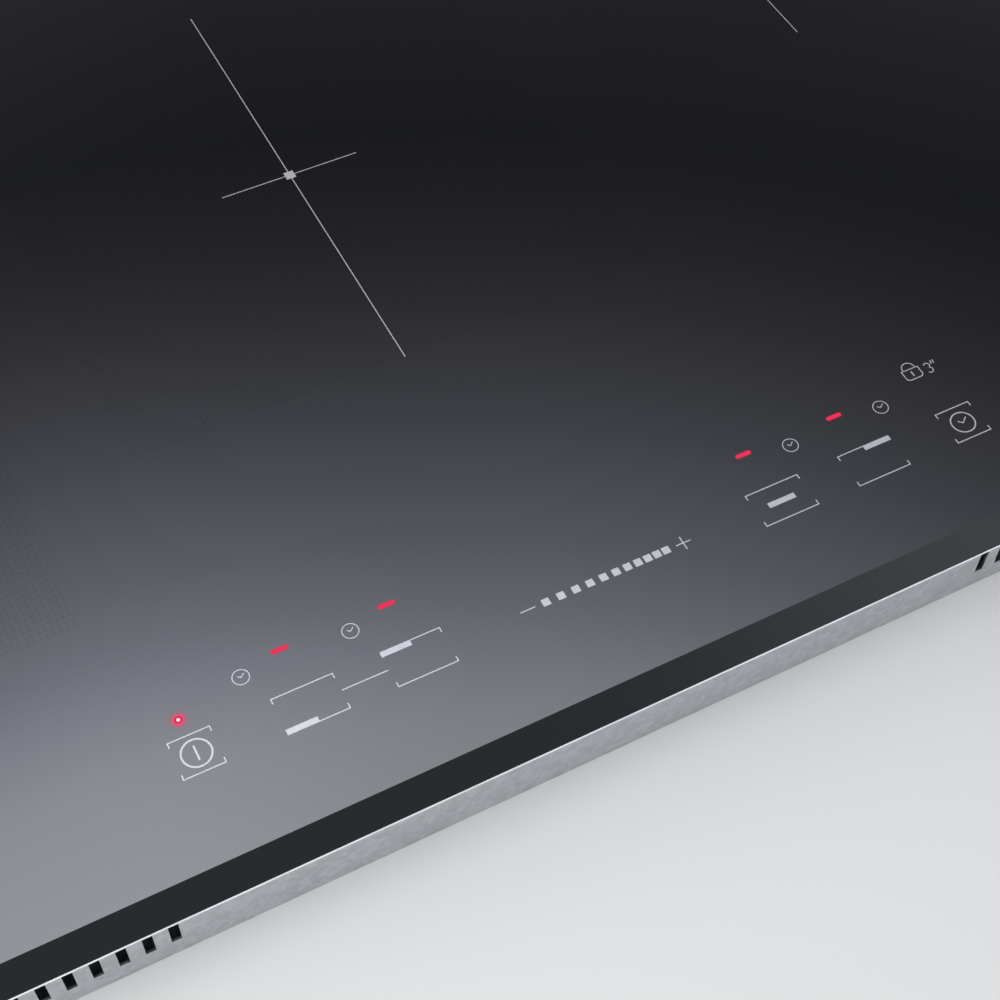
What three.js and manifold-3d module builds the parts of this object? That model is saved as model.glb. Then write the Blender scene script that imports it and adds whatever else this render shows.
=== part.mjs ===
// Built-in induction hob, 77 cm class: a glass-ceramic top with a front facet over a sheet-steel tray.
// The tray holds four floating induction coils, two inverter modules with blowers, the mains filter and
// the touch controls.
// Millimetres. +X is the user's right, +Y the rear, +Z up.
// The origin is the middle of the tray's underside.
import * as THREE from "three";
import { mergeVertices } from "three/addons/utils/BufferGeometryUtils.js";
import Module from "manifold-3d";

const wasm = await Module();
wasm.setup();

// ---------- driving dimensions ----------
const HOB_WIDTH = 770; // glass, left to right
const HOB_DEPTH = 510; // glass, front to rear
const HOB_HEIGHT = 54; // tray underside to glass surface
const CUTOUT_OVERLAP = 10; // glass over the worktop's cut-out, each side
const CUTOUT_PLAY = 2; // tray to cut-out, each side
const SEAT = 0.2; // gap between parts that rest on or are bonded to each other
const SHEET = 1; // steel sheet of tray and frame
const OVERCUT = 1; // how far a cutting tool passes the face it cuts

const GLASS_THICK = 4;
const GLASS_CORNER = 5;
const FACET_WIDTH = 12; // ground facet along the front edge
const FACET_DROP = 2.4;
const ARRIS = 0.5; // small bevel round the other edges

const BOND_THICK = 0.6;
const BOND_WIDTH = 12;
const BOND_INSET = 2; // bond line to the frame's outer edge
const FRAME_FLANGE = 18; // width of the frame's flange under the glass
const FRAME_SKIRT = 17; // depth of the frame's skirt inside the tray
const SKIRT_CLEAR = 0.3;
const SEAL_THICK = 2;
const SEAL_INSET = 1; // seal to glass edge
const SEAL_CLEAR = 1.5; // seal to cut-out edge
const TRAY_CORNER = 8;
const FLOOR_GAP = 0.3; // parts standing on the tray floor
const BEAD_HEIGHT = 0.6; // stiffening beads pressed into the tray floor
const BEAD_WIDTH = 8;
const BEAD_LENGTH = 140;
const BEAD_CORNER = 10; // outer corner of the bead in plan
const BEAD_INNER_CORNER = 4;
const SLOT_WIDTH = 4; // air slots
const SLOT_PITCH = 10;
const INTAKE_ROWS = 5;
const EXHAUST_FOOT = 10.3; // wall slots above the tray's underside
const EXHAUST_HEIGHT = 16;
const EXHAUST_SLOTS = 10;

const MODULE_SIDE = 12; // inverter carrier to the tray's side wall
const MODULE_WIDTH = 270;
const MODULE_DEPTH = 205;
const TERMINAL_STRIP = 62; // space kept behind the inverter modules
const WALL = 2; // moulded plastic walls
const PCB_THICK = 1.6;
const STANDOFF = 4; // board underside above the carrier's floor
const STANDOFF_RADIUS = 3.5;
const BOARD_MARGIN = 3;
const BOARD_CORNER = 3;
const LEDGE_WIDTH = 8; // ledges that carry the coil decks
const SINK_WIDTH = 64;
const SINK_LENGTH = 150;
const SINK_FINS = 9;
const SINK_BASE = 4;
const SINK_HEIGHT = 24;
const FIN_THICK = 1.5;
const SWITCH_LENGTH = 96;
const SWITCH_THICK = 6;
const SWITCH_HEIGHT = 18;
const SWITCHES = 4;
const SWITCH_GAP = 8; // between neighbouring packages
const CLAMP_THICK = 1.5; // bar that presses the packages to the sink
const CLAMP_HEIGHT = 5;
const CLAMP_RISE = 8; // bar above the board
const CAPACITORS = 3;
const CAPACITOR_SIDE = 32; // heat sink's side to the capacitors' middle
const CAPACITOR_GAP = 4;
const CAPACITOR_BASE = 2;
const CAPACITOR_LENGTH = 32;
const CAPACITOR_THICK = 16;
const CAPACITOR_HEIGHT = 20;

const ZONE_REAR = 34; // outer formers to the glass rear edge
const COIL_RADIUS = 83; // outer coils
const CENTRE_COIL_RADIUS = 118;
const CENTRE_COIL_REAR = 195.1; // centre coil's middle to the glass rear edge
const COIL_SIDE = 22; // outer winding to the frame's skirt
const FORMER_RIM = 4; // former outside the winding
const FORMER_GAP = 1; // between the two formers of the bridge zone
const COIL_EYE = 20; // inner radius of every winding
const SENSOR_RADIUS = 5;
const SENSOR_CLEAR = 1;
const SENSOR_BORE = 0.8; // radius of the lead's hole
const SENSOR_FLANGE = 3;
const SENSOR_FLANGE_RISE = 1.2; // flange's top above the winding's underside
const MICA_THICK = 1;
const WINDING_THICK = 3.4;
const FORMER_THICK = 1.6;
const FERRITE_THICK = 2.6;
const FERRITE_WIDTH = 13;
const FERRITE_BARS = 8;
const FERRITE_RING_INSIDE = 5; // inner ring, inwards of the bars' ends
const FERRITE_RING_OVERLAP = 3;
const SPRING_SHEET = 0.6;
const SPRING_BAND = 5;
const SPRING_WAVES = 4;
const FLOAT_TRAVEL = 2; // how far a coil sinks on its wave spring
const FLOAT_CLEAR = 0.8;
const DECK_THICK = 1.4;
const DECK_MARGIN = 4; // deck plate round the formers
const DECK_SIDE = 10; // deck plate to the frame's skirt
const DECK_SPLIT = 3; // between the two deck plates
const DECK_VENT = 10; // radius of the holes under a winding

const PANEL_CENTRE = 21.5; // touch panel's middle, right of the hob's middle
const PANEL_WIDTH = 392;
const PANEL_DEPTH = 68;
const PANEL_FRONT = 32; // control carrier to the glass front edge
const TONGUE_WIDTH = 24;
const TONGUE_REACH = 13;
const LEG_REACH = 130; // carrier's legs from the panel's middle
const LEG_SIZE = 10;
const LIGHT_GUIDE_THICK = 2.2;
const LAMP_WELL = 10; // length of a light well
const LAMP_WELLS = [-172, -125, -80, -58, -19, 19, 58, 80, 125, 172]; // along the panel, from its middle

const FAN_RADIUS = 36;
const FAN_HEIGHT = 20;
const FAN_BLADES = 18;
const BLADE_CHORD = 7;
const BLADE_THICK = 1.2;
const BLADE_ANGLE = 35;
const BLADE_INSET = 0.5; // blades' ends inside the disc and the ring
const ROTOR_DISC = 1.5; // thickness of the rotor's disc and ring
const HUB_HEIGHT = 8;
const FAN_CLEAR = 2.5; // rotor to scroll, on every side
const FAN_HUB = 13;
const SHAFT_RADIUS = 2;
const SHAFT_CLEAR = 0.2;
const SCROLL_GROWTH = 12; // how far the scroll opens over one turn
const SCROLL_WALL = 1.5;
const SCROLL_STEPS = 22;
const DUCT_LENGTH = 22; // beyond the rotor
const DUCT_WIDTH = 38;
const FAN_INTAKE = 27; // radius of the inlet

const FILTER_WIDTH = 200;
const FILTER_DEPTH = 76;
const FILTER_FRONT = 14; // filter board to the tray's front wall
const CHOKE_RADIUS = 14;
const CHOKE_SECTION = 6;

const BOX_WIDTH = 112; // terminal box
const BOX_DEPTH = 48;
const BOX_HEIGHT = 29;
const BOX_SIDE = 12; // box to the tray's side wall
const LID_WIDTH = 68;
const LID_HEIGHT = 24;
const LID_THICK = 2;
const LID_CLEAR = 0.6;
const LID_INSET = 6; // lid to the box's left end
const HINGE_RISE = 5; // hinge line above the tray's underside
const KNUCKLE_RADIUS = 1.6;
const PIN_RADIUS = 1;
const PIN_LENGTH = 1.6;
const EAR_SIZE = 2.4;
const GRIP_WIDTH = 16;
const GRIP_THICK = 2;
const RIB_SIZE = 1.2; // small upright ribs on the lid
const RIB_FOOT = 5; // ribs above the hinge line
const RIB_HEAD = 7; // ribs below the lid's top
const BLOCK_POLES = 5;
const POLE_PITCH = 10;
const BLOCK_DEPTH = 18;
const BLOCK_HEIGHT = 18;
const BLOCK_GAP = 4; // terminal block to the box's front wall
const SCREW_WELL = 3; // radius
const SCREW_WELL_DEPTH = 5;
const WIRE_HOLE = 2.4; // radius
const WIRE_HOLE_RISE = 6;
const GLAND_BORE = 6; // radius for the mains cable
const GLAND_WALL = 2;
const GLAND_CLEAR = 0.3;
const GLAND_LIP = 1.6;
const GLAND_RIM = 3;
const GLAND_NUT = 2.4; // thickness of the nut inside the box

const CLIP_WIDTH = 14;
const CLIP_SHEET = 0.8;
const CLIP_BULGE = 5; // how far the relaxed clip stands out of the tray
const CLIP_INSET = 88; // clip's middle to the tray's front or rear wall
const CLIP_CLEAR = 1.5;
const CLIP_FOOT = 9; // foot's lower edge above the tray's underside
const CLIP_FOOT_HEIGHT = 6; // riveted part, below the bend
const CLIP_CROWN = 30;
const CLIP_TIP = 41;
const CLIP_TUCK = 2; // tip behind the tray's outer face
const CLIP_NOSE = 0.4; // half height of the rounded crown
const CLIP_FOLD = 0.2; // offset of the bend's two faces
const NOTCH_DEPTH = 6; // notches in the walls behind the clips

const CORNER_STEPS = 3; // curve resolution of rounded plan corners
const COIL_SIDES = 32; // facets round a coil's parts
const EYE_SIDES = 16; // facets round a coil's eye
const VENT_SIDES = 10;
const POST_SIDES = 8; // facets round posts and screw holes
const BORE_SIDES = 16; // facets round the rotor's bore and hub
const RIM_SIDES = 28; // facets round the rotor
const GLAND_SIDES = 20;

// ---------- heights and half sizes worked out from them ----------
const glassHalfX = HOB_WIDTH / 2;
const glassHalfY = HOB_DEPTH / 2;
const trayHalfX = glassHalfX - CUTOUT_OVERLAP - CUTOUT_PLAY;
const trayHalfY = glassHalfY - CUTOUT_OVERLAP - CUTOUT_PLAY;
const insideX = trayHalfX - SHEET; // inner faces of the tray's walls
const insideY = trayHalfY - SHEET;
const skirtX = insideX - SKIRT_CLEAR - SHEET; // inner faces of the frame's skirt
const skirtY = insideY - SKIRT_CLEAR - SHEET;

const glassUnder = HOB_HEIGHT - GLASS_THICK;
const flangeTop = glassUnder - SEAT - BOND_THICK - SEAT;
const flangeUnder = flangeTop - SHEET;
const trayTop = flangeUnder - SEAT;
const micaUnder = glassUnder - SEAT - MICA_THICK;
const windingUnder = micaUnder - SEAT - WINDING_THICK;
const formerUnder = windingUnder - SEAT - FORMER_THICK;
const ferriteUnder = formerUnder - SEAT - FERRITE_THICK;
const deckTop = ferriteUnder - FLOAT_TRAVEL - FLOAT_CLEAR;
const deckUnder = deckTop - DECK_THICK;
const supportTop = deckUnder - SEAT; // tops of the walls that carry the decks
const floorTop = SHEET + FLOOR_GAP; // underside of what stands on the tray floor

const formerRadius = COIL_RADIUS + FORMER_RIM;
const outerCoilX = skirtX - COIL_SIDE - COIL_RADIUS;
const rearCoilY = glassHalfY - ZONE_REAR - formerRadius;
const frontCoilY = rearCoilY - 2 * formerRadius - FORMER_GAP;
const COILS = [
  { name: "front_left", x: -outerCoilX, y: frontCoilY, radius: COIL_RADIUS },
  { name: "rear_left", x: -outerCoilX, y: rearCoilY, radius: COIL_RADIUS },
  { name: "centre", x: 0, y: glassHalfY - CENTRE_COIL_REAR, radius: CENTRE_COIL_RADIUS },
  { name: "rear_right", x: outerCoilX, y: rearCoilY, radius: COIL_RADIUS },
];

const moduleX = insideX - MODULE_SIDE - MODULE_WIDTH / 2;
const moduleRear = insideY - TERMINAL_STRIP;
const moduleFront = moduleRear - MODULE_DEPTH;
const boardUnder = floorTop + WALL + STANDOFF + SEAT;
const boardTop = boardUnder + PCB_THICK;
const ductReach = FAN_RADIUS + DUCT_LENGTH; // rotor's axis to the duct's mouth
const fanY = moduleFront - SEAT - ductReach;
const fanZ = floorTop + SCROLL_WALL + FAN_CLEAR; // rotor's lower edge

const lightTop = glassUnder - SEAT;
const lightUnder = lightTop - LIGHT_GUIDE_THICK;
const controlTop = lightUnder - SEAT;
const controlUnder = controlTop - PCB_THICK;
const panelFront = -glassHalfY + PANEL_FRONT;
const panelRear = panelFront + PANEL_DEPTH;
const panelLeft = PANEL_CENTRE - PANEL_WIDTH / 2;
const panelRight = PANEL_CENTRE + PANEL_WIDTH / 2;
const carrierUnder = deckTop + 2 * SEAT;

const boxRight = insideX - BOX_SIDE;
const boxLeft = boxRight - BOX_WIDTH;
const boxRear = trayHalfY - LID_THICK - SKIRT_CLEAR;
const boxFront = boxRear - BOX_DEPTH;
const lidLeft = boxLeft + LID_INSET;
const lidRight = lidLeft + LID_WIDTH;
const lidTop = HINGE_RISE + LID_HEIGHT;
const pinLeft = lidLeft - PIN_LENGTH - LID_CLEAR; // ends of the hinge pin
const pinRight = lidRight + PIN_LENGTH + LID_CLEAR;
const hingeY = trayHalfY - LID_THICK / 2;
const glandX = (lidRight + boxRight) / 2;
const glandZ = floorTop + BOX_HEIGHT / 2;
const glandOuter = GLAND_BORE + GLAND_WALL;

const clipY = trayHalfY - CLIP_INSET;

// ---------- solids ----------
function toSolid(geometry) {
  const bare = geometry.clone();
  bare.deleteAttribute("normal");
  bare.deleteAttribute("uv");
  const merged = mergeVertices(bare, 1e-4);
  return new wasm.Manifold(
    new wasm.Mesh({
      numProp: 3,
      vertProperties: merged.attributes.position.array,
      triVerts: new Uint32Array(merged.index.array),
    }),
  );
}

function toGeometry(solid) {
  const mesh = solid.getMesh();
  const geometry = new THREE.BufferGeometry();
  geometry.setAttribute("position", new THREE.BufferAttribute(mesh.vertProperties, 3));
  geometry.setIndex(new THREE.BufferAttribute(mesh.triVerts, 1));
  geometry.computeVertexNormals();
  return geometry;
}

const join = (...solids) => solids.reduce((sum, solid) => sum.add(solid));
const cut = (solid, ...tools) => tools.reduce((rest, tool) => rest.subtract(tool), solid);

function box(x0, x1, y0, y1, z0, z1) {
  const geometry = new THREE.BoxGeometry(x1 - x0, y1 - y0, z1 - z0);
  return toSolid(geometry.translate((x0 + x1) / 2, (y0 + y1) / 2, (z0 + z1) / 2));
}

// A box from its middle in plan.
function block(x, y, width, depth, z0, z1) {
  return box(x - width / 2, x + width / 2, y - depth / 2, y + depth / 2, z0, z1);
}

function rod(radius, z0, z1, x = 0, y = 0, sides = 24) {
  const geometry = new THREE.CylinderGeometry(radius, radius, z1 - z0, sides);
  return toSolid(geometry.rotateX(Math.PI / 2).translate(x, y, (z0 + z1) / 2));
}

function rodX(radius, x0, x1, y, z, sides = 16) {
  const geometry = new THREE.CylinderGeometry(radius, radius, x1 - x0, sides);
  return toSolid(geometry.rotateZ(Math.PI / 2).translate((x0 + x1) / 2, y, z));
}

function rodY(radius, y0, y1, x, z, sides = 24) {
  const geometry = new THREE.CylinderGeometry(radius, radius, y1 - y0, sides);
  return toSolid(geometry.translate(x, (y0 + y1) / 2, z));
}

// A profile of [radius, height] points turned about a vertical axis.
// It runs anticlockwise and closes on itself.
function turned(profile, x, y, sides) {
  const points = [...profile, profile[0]].map(([r, h]) => new THREE.Vector2(r, h));
  const geometry = new THREE.LatheGeometry(points, sides);
  return toSolid(geometry.rotateX(Math.PI / 2).translate(x, y, 0));
}

function ringProfile(inner, outer, z0, z1) {
  return [
    [inner, z0],
    [outer, z0],
    [outer, z1],
    [inner, z1],
  ];
}

function plate(shape, z0, z1) {
  const options = { depth: z1 - z0, bevelEnabled: false, curveSegments: CORNER_STEPS };
  return toSolid(new THREE.ExtrudeGeometry(shape, options).translate(0, 0, z0));
}

// Upright round posts, or the tools for screw holes, at a list of places.
function rodsAt(places, radius, z0, z1) {
  return places.map(([x, y]) => rod(radius, z0, z1, x, y, POST_SIDES));
}

function outline(points) {
  return new THREE.Shape(points.map(([u, v]) => new THREE.Vector2(u, v)));
}

// An outline in the Y-Z plane, drawn out along X.
function alongX(points, x0, x1) {
  const geometry = new THREE.ExtrudeGeometry(outline(points), { depth: x1 - x0, bevelEnabled: false });
  geometry.rotateX(Math.PI / 2).rotateZ(Math.PI / 2);
  return toSolid(geometry.translate(x0, 0, 0));
}

// An outline in the X-Z plane, drawn out along Y.
function alongY(points, y0, y1) {
  const geometry = new THREE.ExtrudeGeometry(outline(points), { depth: y1 - y0, bevelEnabled: false });
  return toSolid(geometry.rotateX(Math.PI / 2).translate(0, y1, 0));
}

function roundedShape(x0, x1, y0, y1, radius) {
  const shape = new THREE.Shape();
  shape.moveTo(x0 + radius, y0);
  shape.absarc(x1 - radius, y0 + radius, radius, -Math.PI / 2, 0, false);
  shape.absarc(x1 - radius, y1 - radius, radius, 0, Math.PI / 2, false);
  shape.absarc(x0 + radius, y1 - radius, radius, Math.PI / 2, Math.PI, false);
  shape.absarc(x0 + radius, y0 + radius, radius, Math.PI, 1.5 * Math.PI, false);
  shape.closePath();
  return shape;
}

const centredShape = (halfX, halfY, radius) => roundedShape(-halfX, halfX, -halfY, halfY, radius);

// A rectangular ring between two centred rounded rectangles.
function frameRing(halfX, halfY, radius, width, z0, z1) {
  const innerRadius = Math.max(radius - width, 1);
  const inner = centredShape(halfX - width, halfY - width, innerRadius);
  return cut(plate(centredShape(halfX, halfY, radius), z0, z1), plate(inner, z0 - OVERCUT, z1 + OVERCUT));
}

// ---------- finishes ----------
const FINISHES = {
  glass: { color: 0x0b0c0e, roughness: 0.05, metalness: 0 },
  silicone: { color: 0x2a2a2c, roughness: 0.8, metalness: 0 },
  foam: { color: 0x1b1b1c, roughness: 0.95, metalness: 0 },
  zincSteel: { color: 0xa9adb0, roughness: 0.42, metalness: 1 },
  springSteel: { color: 0x8d9092, roughness: 0.3, metalness: 1 },
  aluminium: { color: 0xc9cccf, roughness: 0.35, metalness: 1 },
  mica: { color: 0xc9b48a, roughness: 0.7, metalness: 0 },
  copper: { color: 0xa8562c, roughness: 0.4, metalness: 1 },
  ferrite: { color: 0x2b2c2f, roughness: 0.6, metalness: 0 },
  whitePlastic: { color: 0xd8d6cf, roughness: 0.55, metalness: 0 },
  greyPlastic: { color: 0x6d7073, roughness: 0.6, metalness: 0 },
  blackPlastic: { color: 0x18191a, roughness: 0.55, metalness: 0 },
  board: { color: 0x14532d, roughness: 0.45, metalness: 0 },
  bluePlastic: { color: 0x2456a4, roughness: 0.45, metalness: 0 },
  package: { color: 0x1c1c1e, roughness: 0.5, metalness: 0 },
};

const hob = new THREE.Group();

function addPart(name, solid, finish, parent = hob) {
  const mesh = new THREE.Mesh(toGeometry(solid), new THREE.MeshStandardMaterial(FINISHES[finish]));
  mesh.name = name;
  parent.add(mesh);
}

// ---------- top: glass, bond, frame, seal ----------
function glassTop() {
  const shape = centredShape(glassHalfX - ARRIS, glassHalfY - ARRIS, GLASS_CORNER - ARRIS);
  const options = {
    depth: GLASS_THICK - 2 * ARRIS,
    bevelEnabled: true,
    bevelSize: ARRIS,
    bevelThickness: ARRIS,
    bevelSegments: 1,
    curveSegments: CORNER_STEPS,
  };
  const slab = new THREE.ExtrudeGeometry(shape, options);
  const beyond = (OVERCUT * FACET_DROP) / FACET_WIDTH; // drop of the facet's plane past the edge
  const facet = [
    [-glassHalfY - OVERCUT, HOB_HEIGHT - FACET_DROP - beyond],
    [-glassHalfY + FACET_WIDTH, HOB_HEIGHT],
    [-glassHalfY + FACET_WIDTH, HOB_HEIGHT + OVERCUT],
    [-glassHalfY - OVERCUT, HOB_HEIGHT + OVERCUT],
  ];
  return cut(toSolid(slab.translate(0, 0, glassUnder + ARRIS)), alongX(facet, -HOB_WIDTH, HOB_WIDTH));
}

function glassBond() {
  const top = glassUnder - SEAT;
  const halfX = trayHalfX - BOND_INSET;
  const halfY = trayHalfY - BOND_INSET;
  return frameRing(halfX, halfY, TRAY_CORNER - BOND_INSET, BOND_WIDTH, top - BOND_THICK, top);
}

// Notches in the tray's and the frame's side walls, where the clips' tips pass.
function clipNotches(z0, z1) {
  const width = CLIP_WIDTH + 2 * CLIP_CLEAR;
  return [-1, 1].flatMap((side) =>
    [-clipY, clipY].map((y) => block(side * trayHalfX, y, NOTCH_DEPTH, width, z0, z1)),
  );
}

function topFrame() {
  const flange = frameRing(trayHalfX, trayHalfY, TRAY_CORNER, FRAME_FLANGE, flangeUnder, flangeTop);
  const skirtOuterX = skirtX + SHEET;
  const skirtOuterY = skirtY + SHEET;
  const skirtBottom = flangeUnder - FRAME_SKIRT;
  const corner = TRAY_CORNER - SHEET;
  const skirt = frameRing(skirtOuterX, skirtOuterY, corner, SHEET, skirtBottom, flangeUnder + SHEET / 2);
  const notches = clipNotches(CLIP_CROWN - CLIP_CLEAR, flangeUnder);
  return cut(join(flange, skirt), ...notches);
}

function rimSeal() {
  const top = glassUnder - SEAT;
  const width = CUTOUT_OVERLAP - SEAL_INSET - SEAL_CLEAR;
  const halfX = glassHalfX - SEAL_INSET;
  const halfY = glassHalfY - SEAL_INSET;
  return frameRing(halfX, halfY, GLASS_CORNER - SEAL_INSET, width, top - SEAL_THICK, top);
}

// ---------- bottom tray ----------
// Slots across a round intake under a blower: each is as long as the circle is wide there.
function intakeSlots(x, y) {
  const slots = [];
  const reach = FAN_INTAKE - SLOT_WIDTH / 2;
  for (let i = 0; i < INTAKE_ROWS; i += 1) {
    const dy = (i - (INTAKE_ROWS - 1) / 2) * SLOT_PITCH;
    const length = 2 * Math.sqrt(reach * reach - dy * dy);
    slots.push(block(x, y + dy, length, SLOT_WIDTH, -OVERCUT, SHEET + OVERCUT));
  }
  return slots;
}

// A row of upright slots through the tray's front or rear wall.
function exhaustSlots(x, y) {
  const slots = [];
  for (let i = 0; i < EXHAUST_SLOTS; i += 1) {
    const slotX = x + (i - (EXHAUST_SLOTS - 1) / 2) * SLOT_PITCH;
    const top = EXHAUST_FOOT + EXHAUST_HEIGHT;
    slots.push(block(slotX, y, SLOT_WIDTH, 4 * SHEET, EXHAUST_FOOT, top));
  }
  return slots;
}

// A bead pressed up into the floor: a groove below and a rib above.
function floorBead(floor) {
  const halfX = BEAD_LENGTH / 2;
  const halfY = FILTER_DEPTH / 2;
  const bead = (grow, z0, z1) => {
    const outer = centredShape(halfX + grow, halfY + grow, BEAD_CORNER + grow);
    const inset = BEAD_WIDTH + grow;
    const inner = centredShape(halfX - inset, halfY - inset, BEAD_INNER_CORNER);
    return cut(plate(outer, z0, z1), plate(inner, z0 - OVERCUT, z1 + OVERCUT));
  };
  const rib = bead(0, SHEET / 2, SHEET + BEAD_HEIGHT / 2);
  return cut(join(floor, rib), bead(-SHEET, -OVERCUT, BEAD_HEIGHT));
}

function bottomTray() {
  const outer = plate(centredShape(trayHalfX, trayHalfY, TRAY_CORNER), 0, trayTop);
  const inner = plate(centredShape(insideX, insideY, TRAY_CORNER - SHEET), SHEET, trayTop + OVERCUT);
  const tray = floorBead(cut(outer, inner));
  const posts = rodsAt(filterPostPlaces(), STANDOFF_RADIUS, SHEET / 2, boardUnder - SEAT);
  const wall = [insideY - OVERCUT, trayHalfY + OVERCUT];
  const beside = PIN_LENGTH + EAR_SIZE + 2 * LID_CLEAR;
  const lidHoleFoot = HINGE_RISE - EAR_SIZE - LID_CLEAR;
  const lidHole = box(lidLeft - beside, lidRight + beside, ...wall, lidHoleFoot, lidTop + LID_CLEAR);
  const glandHole = rodY(glandOuter + GLAND_CLEAR, ...wall, glandX, glandZ);
  return cut(
    join(tray, ...posts),
    ...intakeSlots(-moduleX, fanY),
    ...intakeSlots(moduleX, fanY),
    ...exhaustSlots(-moduleX, trayHalfY),
    ...exhaustSlots(0, trayHalfY),
    ...exhaustSlots(-moduleX, -trayHalfY),
    ...exhaustSlots(moduleX, -trayHalfY),
    ...clipNotches(CLIP_CROWN - CLIP_CLEAR, trayTop + OVERCUT),
    lidHole,
    glandHole,
  );
}

// ---------- coil decks and coils ----------
function deckPlate(x0, x1, y0, y1, coils) {
  const through = [deckUnder - OVERCUT, deckTop + OVERCUT];
  const eyes = coils.map((coil) => rod(COIL_EYE, ...through, coil.x, coil.y, EYE_SIDES));
  const vents = coils.flatMap((coil) =>
    [0, 1, 2, 3].map((i) => {
      const angle = Math.PI / 4 + (i * Math.PI) / 2;
      const reach = (coil.radius + COIL_EYE) / 2;
      const x = coil.x + reach * Math.cos(angle);
      const y = coil.y + reach * Math.sin(angle);
      return rod(DECK_VENT, ...through, x, y, VENT_SIDES);
    }),
  );
  return cut(plate(roundedShape(x0, x1, y0, y1, TRAY_CORNER), deckUnder, deckTop), ...eyes, ...vents);
}

function addDecks() {
  const [frontLeft, rearLeft, centre, rearRight] = COILS;
  const left = -skirtX + DECK_SIDE;
  const split = frontLeft.x + formerRadius + DECK_MARGIN;
  const rear = skirtY - DECK_MARGIN;
  const frontOfLeft = frontLeft.y - formerRadius - DECK_MARGIN;
  const frontOfRight = centre.y - CENTRE_COIL_RADIUS - FORMER_RIM - DECK_MARGIN;
  addPart("coil_deck_left", deckPlate(left, split, frontOfLeft, rear, [frontLeft, rearLeft]), "aluminium");
  const right = deckPlate(split + DECK_SPLIT, -left, frontOfRight, rear, [centre, rearRight]);
  addPart("coil_deck_right", right, "aluminium");
}

// Closed path of a wave spring, left open by a small gap as a cut band is.
class WavePath extends THREE.Curve {
  constructor(radius, low, high) {
    super();
    this.radius = radius;
    this.middle = (low + high) / 2;
    this.swing = (high - low) / 2;
  }

  getPoint(t) {
    const gap = SPRING_SHEET / this.radius;
    const angle = gap + t * (2 * Math.PI - 2 * gap);
    const height = this.middle - this.swing * Math.cos(SPRING_WAVES * angle);
    return new THREE.Vector3(this.radius * Math.cos(angle), this.radius * Math.sin(angle), height);
  }
}

function waveSpring(coil) {
  const slope = SPRING_SHEET; // room for the band's own thickness and tilt
  const low = deckTop + SEAT + slope;
  const high = formerUnder - SEAT - slope;
  const path = new WavePath(coil.radius + FORMER_RIM - SPRING_BAND, low, high);
  const band = new THREE.Shape();
  band.moveTo(-SPRING_SHEET / 2, -SPRING_BAND / 2);
  band.lineTo(SPRING_SHEET / 2, -SPRING_BAND / 2);
  band.lineTo(SPRING_SHEET / 2, SPRING_BAND / 2);
  band.lineTo(-SPRING_SHEET / 2, SPRING_BAND / 2);
  band.closePath();
  const geometry = new THREE.ExtrudeGeometry(band, { steps: 10 * SPRING_WAVES, extrudePath: path });
  return toSolid(geometry.translate(coil.x, coil.y, 0));
}

// Ferrite bars like spokes under the former, held by an inner ring.
function ferriteStar(coil) {
  const top = formerUnder - SEAT;
  const inner = COIL_EYE + SENSOR_CLEAR;
  const outer = coil.radius - 2 * SPRING_BAND;
  const hole = inner - FERRITE_RING_INSIDE;
  const ring = turned(ringProfile(hole, inner + FERRITE_RING_OVERLAP, ferriteUnder, top), 0, 0, EYE_SIDES);
  const bars = [];
  for (let i = 0; i < FERRITE_BARS; i += 1) {
    const angle = ((i + 0.5) * 360) / FERRITE_BARS;
    const bar = box(inner, outer, -FERRITE_WIDTH / 2, FERRITE_WIDTH / 2, ferriteUnder, top);
    bars.push(bar.rotate([0, 0, angle]));
  }
  return join(ring, ...bars).translate([coil.x, coil.y, 0]);
}

// Former: a disc with a raised collar inside the winding's eye.
function coilFormer(coil) {
  const top = formerUnder + FORMER_THICK;
  const outer = coil.radius + FORMER_RIM;
  const eye = SENSOR_RADIUS + SENSOR_CLEAR;
  const profile = [
    [eye, formerUnder],
    [outer, formerUnder],
    [outer, top],
    [COIL_EYE - SEAT, top],
    [COIL_EYE - SEAT, top + WINDING_THICK],
    [COIL_EYE - WALL, top + WINDING_THICK],
    [COIL_EYE - WALL, top],
    [eye, top],
  ];
  return turned(profile, coil.x, coil.y, COIL_SIDES);
}

function tempSensor(coil) {
  const top = glassUnder - SEAT;
  const foot = formerUnder + FORMER_THICK + SEAT;
  const step = windingUnder + SENSOR_FLANGE_RISE;
  const profile = [
    [SENSOR_BORE, foot],
    [SENSOR_RADIUS + SENSOR_FLANGE, foot],
    [SENSOR_RADIUS + SENSOR_FLANGE, step],
    [SENSOR_RADIUS, step],
    [SENSOR_RADIUS, top],
    [SENSOR_BORE, top],
  ];
  return turned(profile, coil.x, coil.y, VENT_SIDES);
}

function addCoil(coil) {
  const mica = ringProfile(SENSOR_RADIUS + SENSOR_CLEAR, coil.radius, micaUnder, micaUnder + MICA_THICK);
  const winding = ringProfile(COIL_EYE, coil.radius, windingUnder, windingUnder + WINDING_THICK);
  addPart(`coil_former_${coil.name}`, coilFormer(coil), "whitePlastic");
  addPart(`ferrite_star_${coil.name}`, ferriteStar(coil), "ferrite");
  addPart(`coil_winding_${coil.name}`, turned(winding, coil.x, coil.y, COIL_SIDES), "copper");
  addPart(`mica_disc_${coil.name}`, turned(mica, coil.x, coil.y, COIL_SIDES), "mica");
  addPart(`temp_sensor_${coil.name}`, tempSensor(coil), "silicone");
  addPart(`wave_spring_${coil.name}`, waveSpring(coil), "springSteel");
}

// ---------- inverter modules ----------
// Tools for the screw holes of a circuit board.
function screwHoles(places) {
  return rodsAt(places, STANDOFF_RADIUS / 2, boardUnder - OVERCUT, boardTop + OVERCUT);
}

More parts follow.
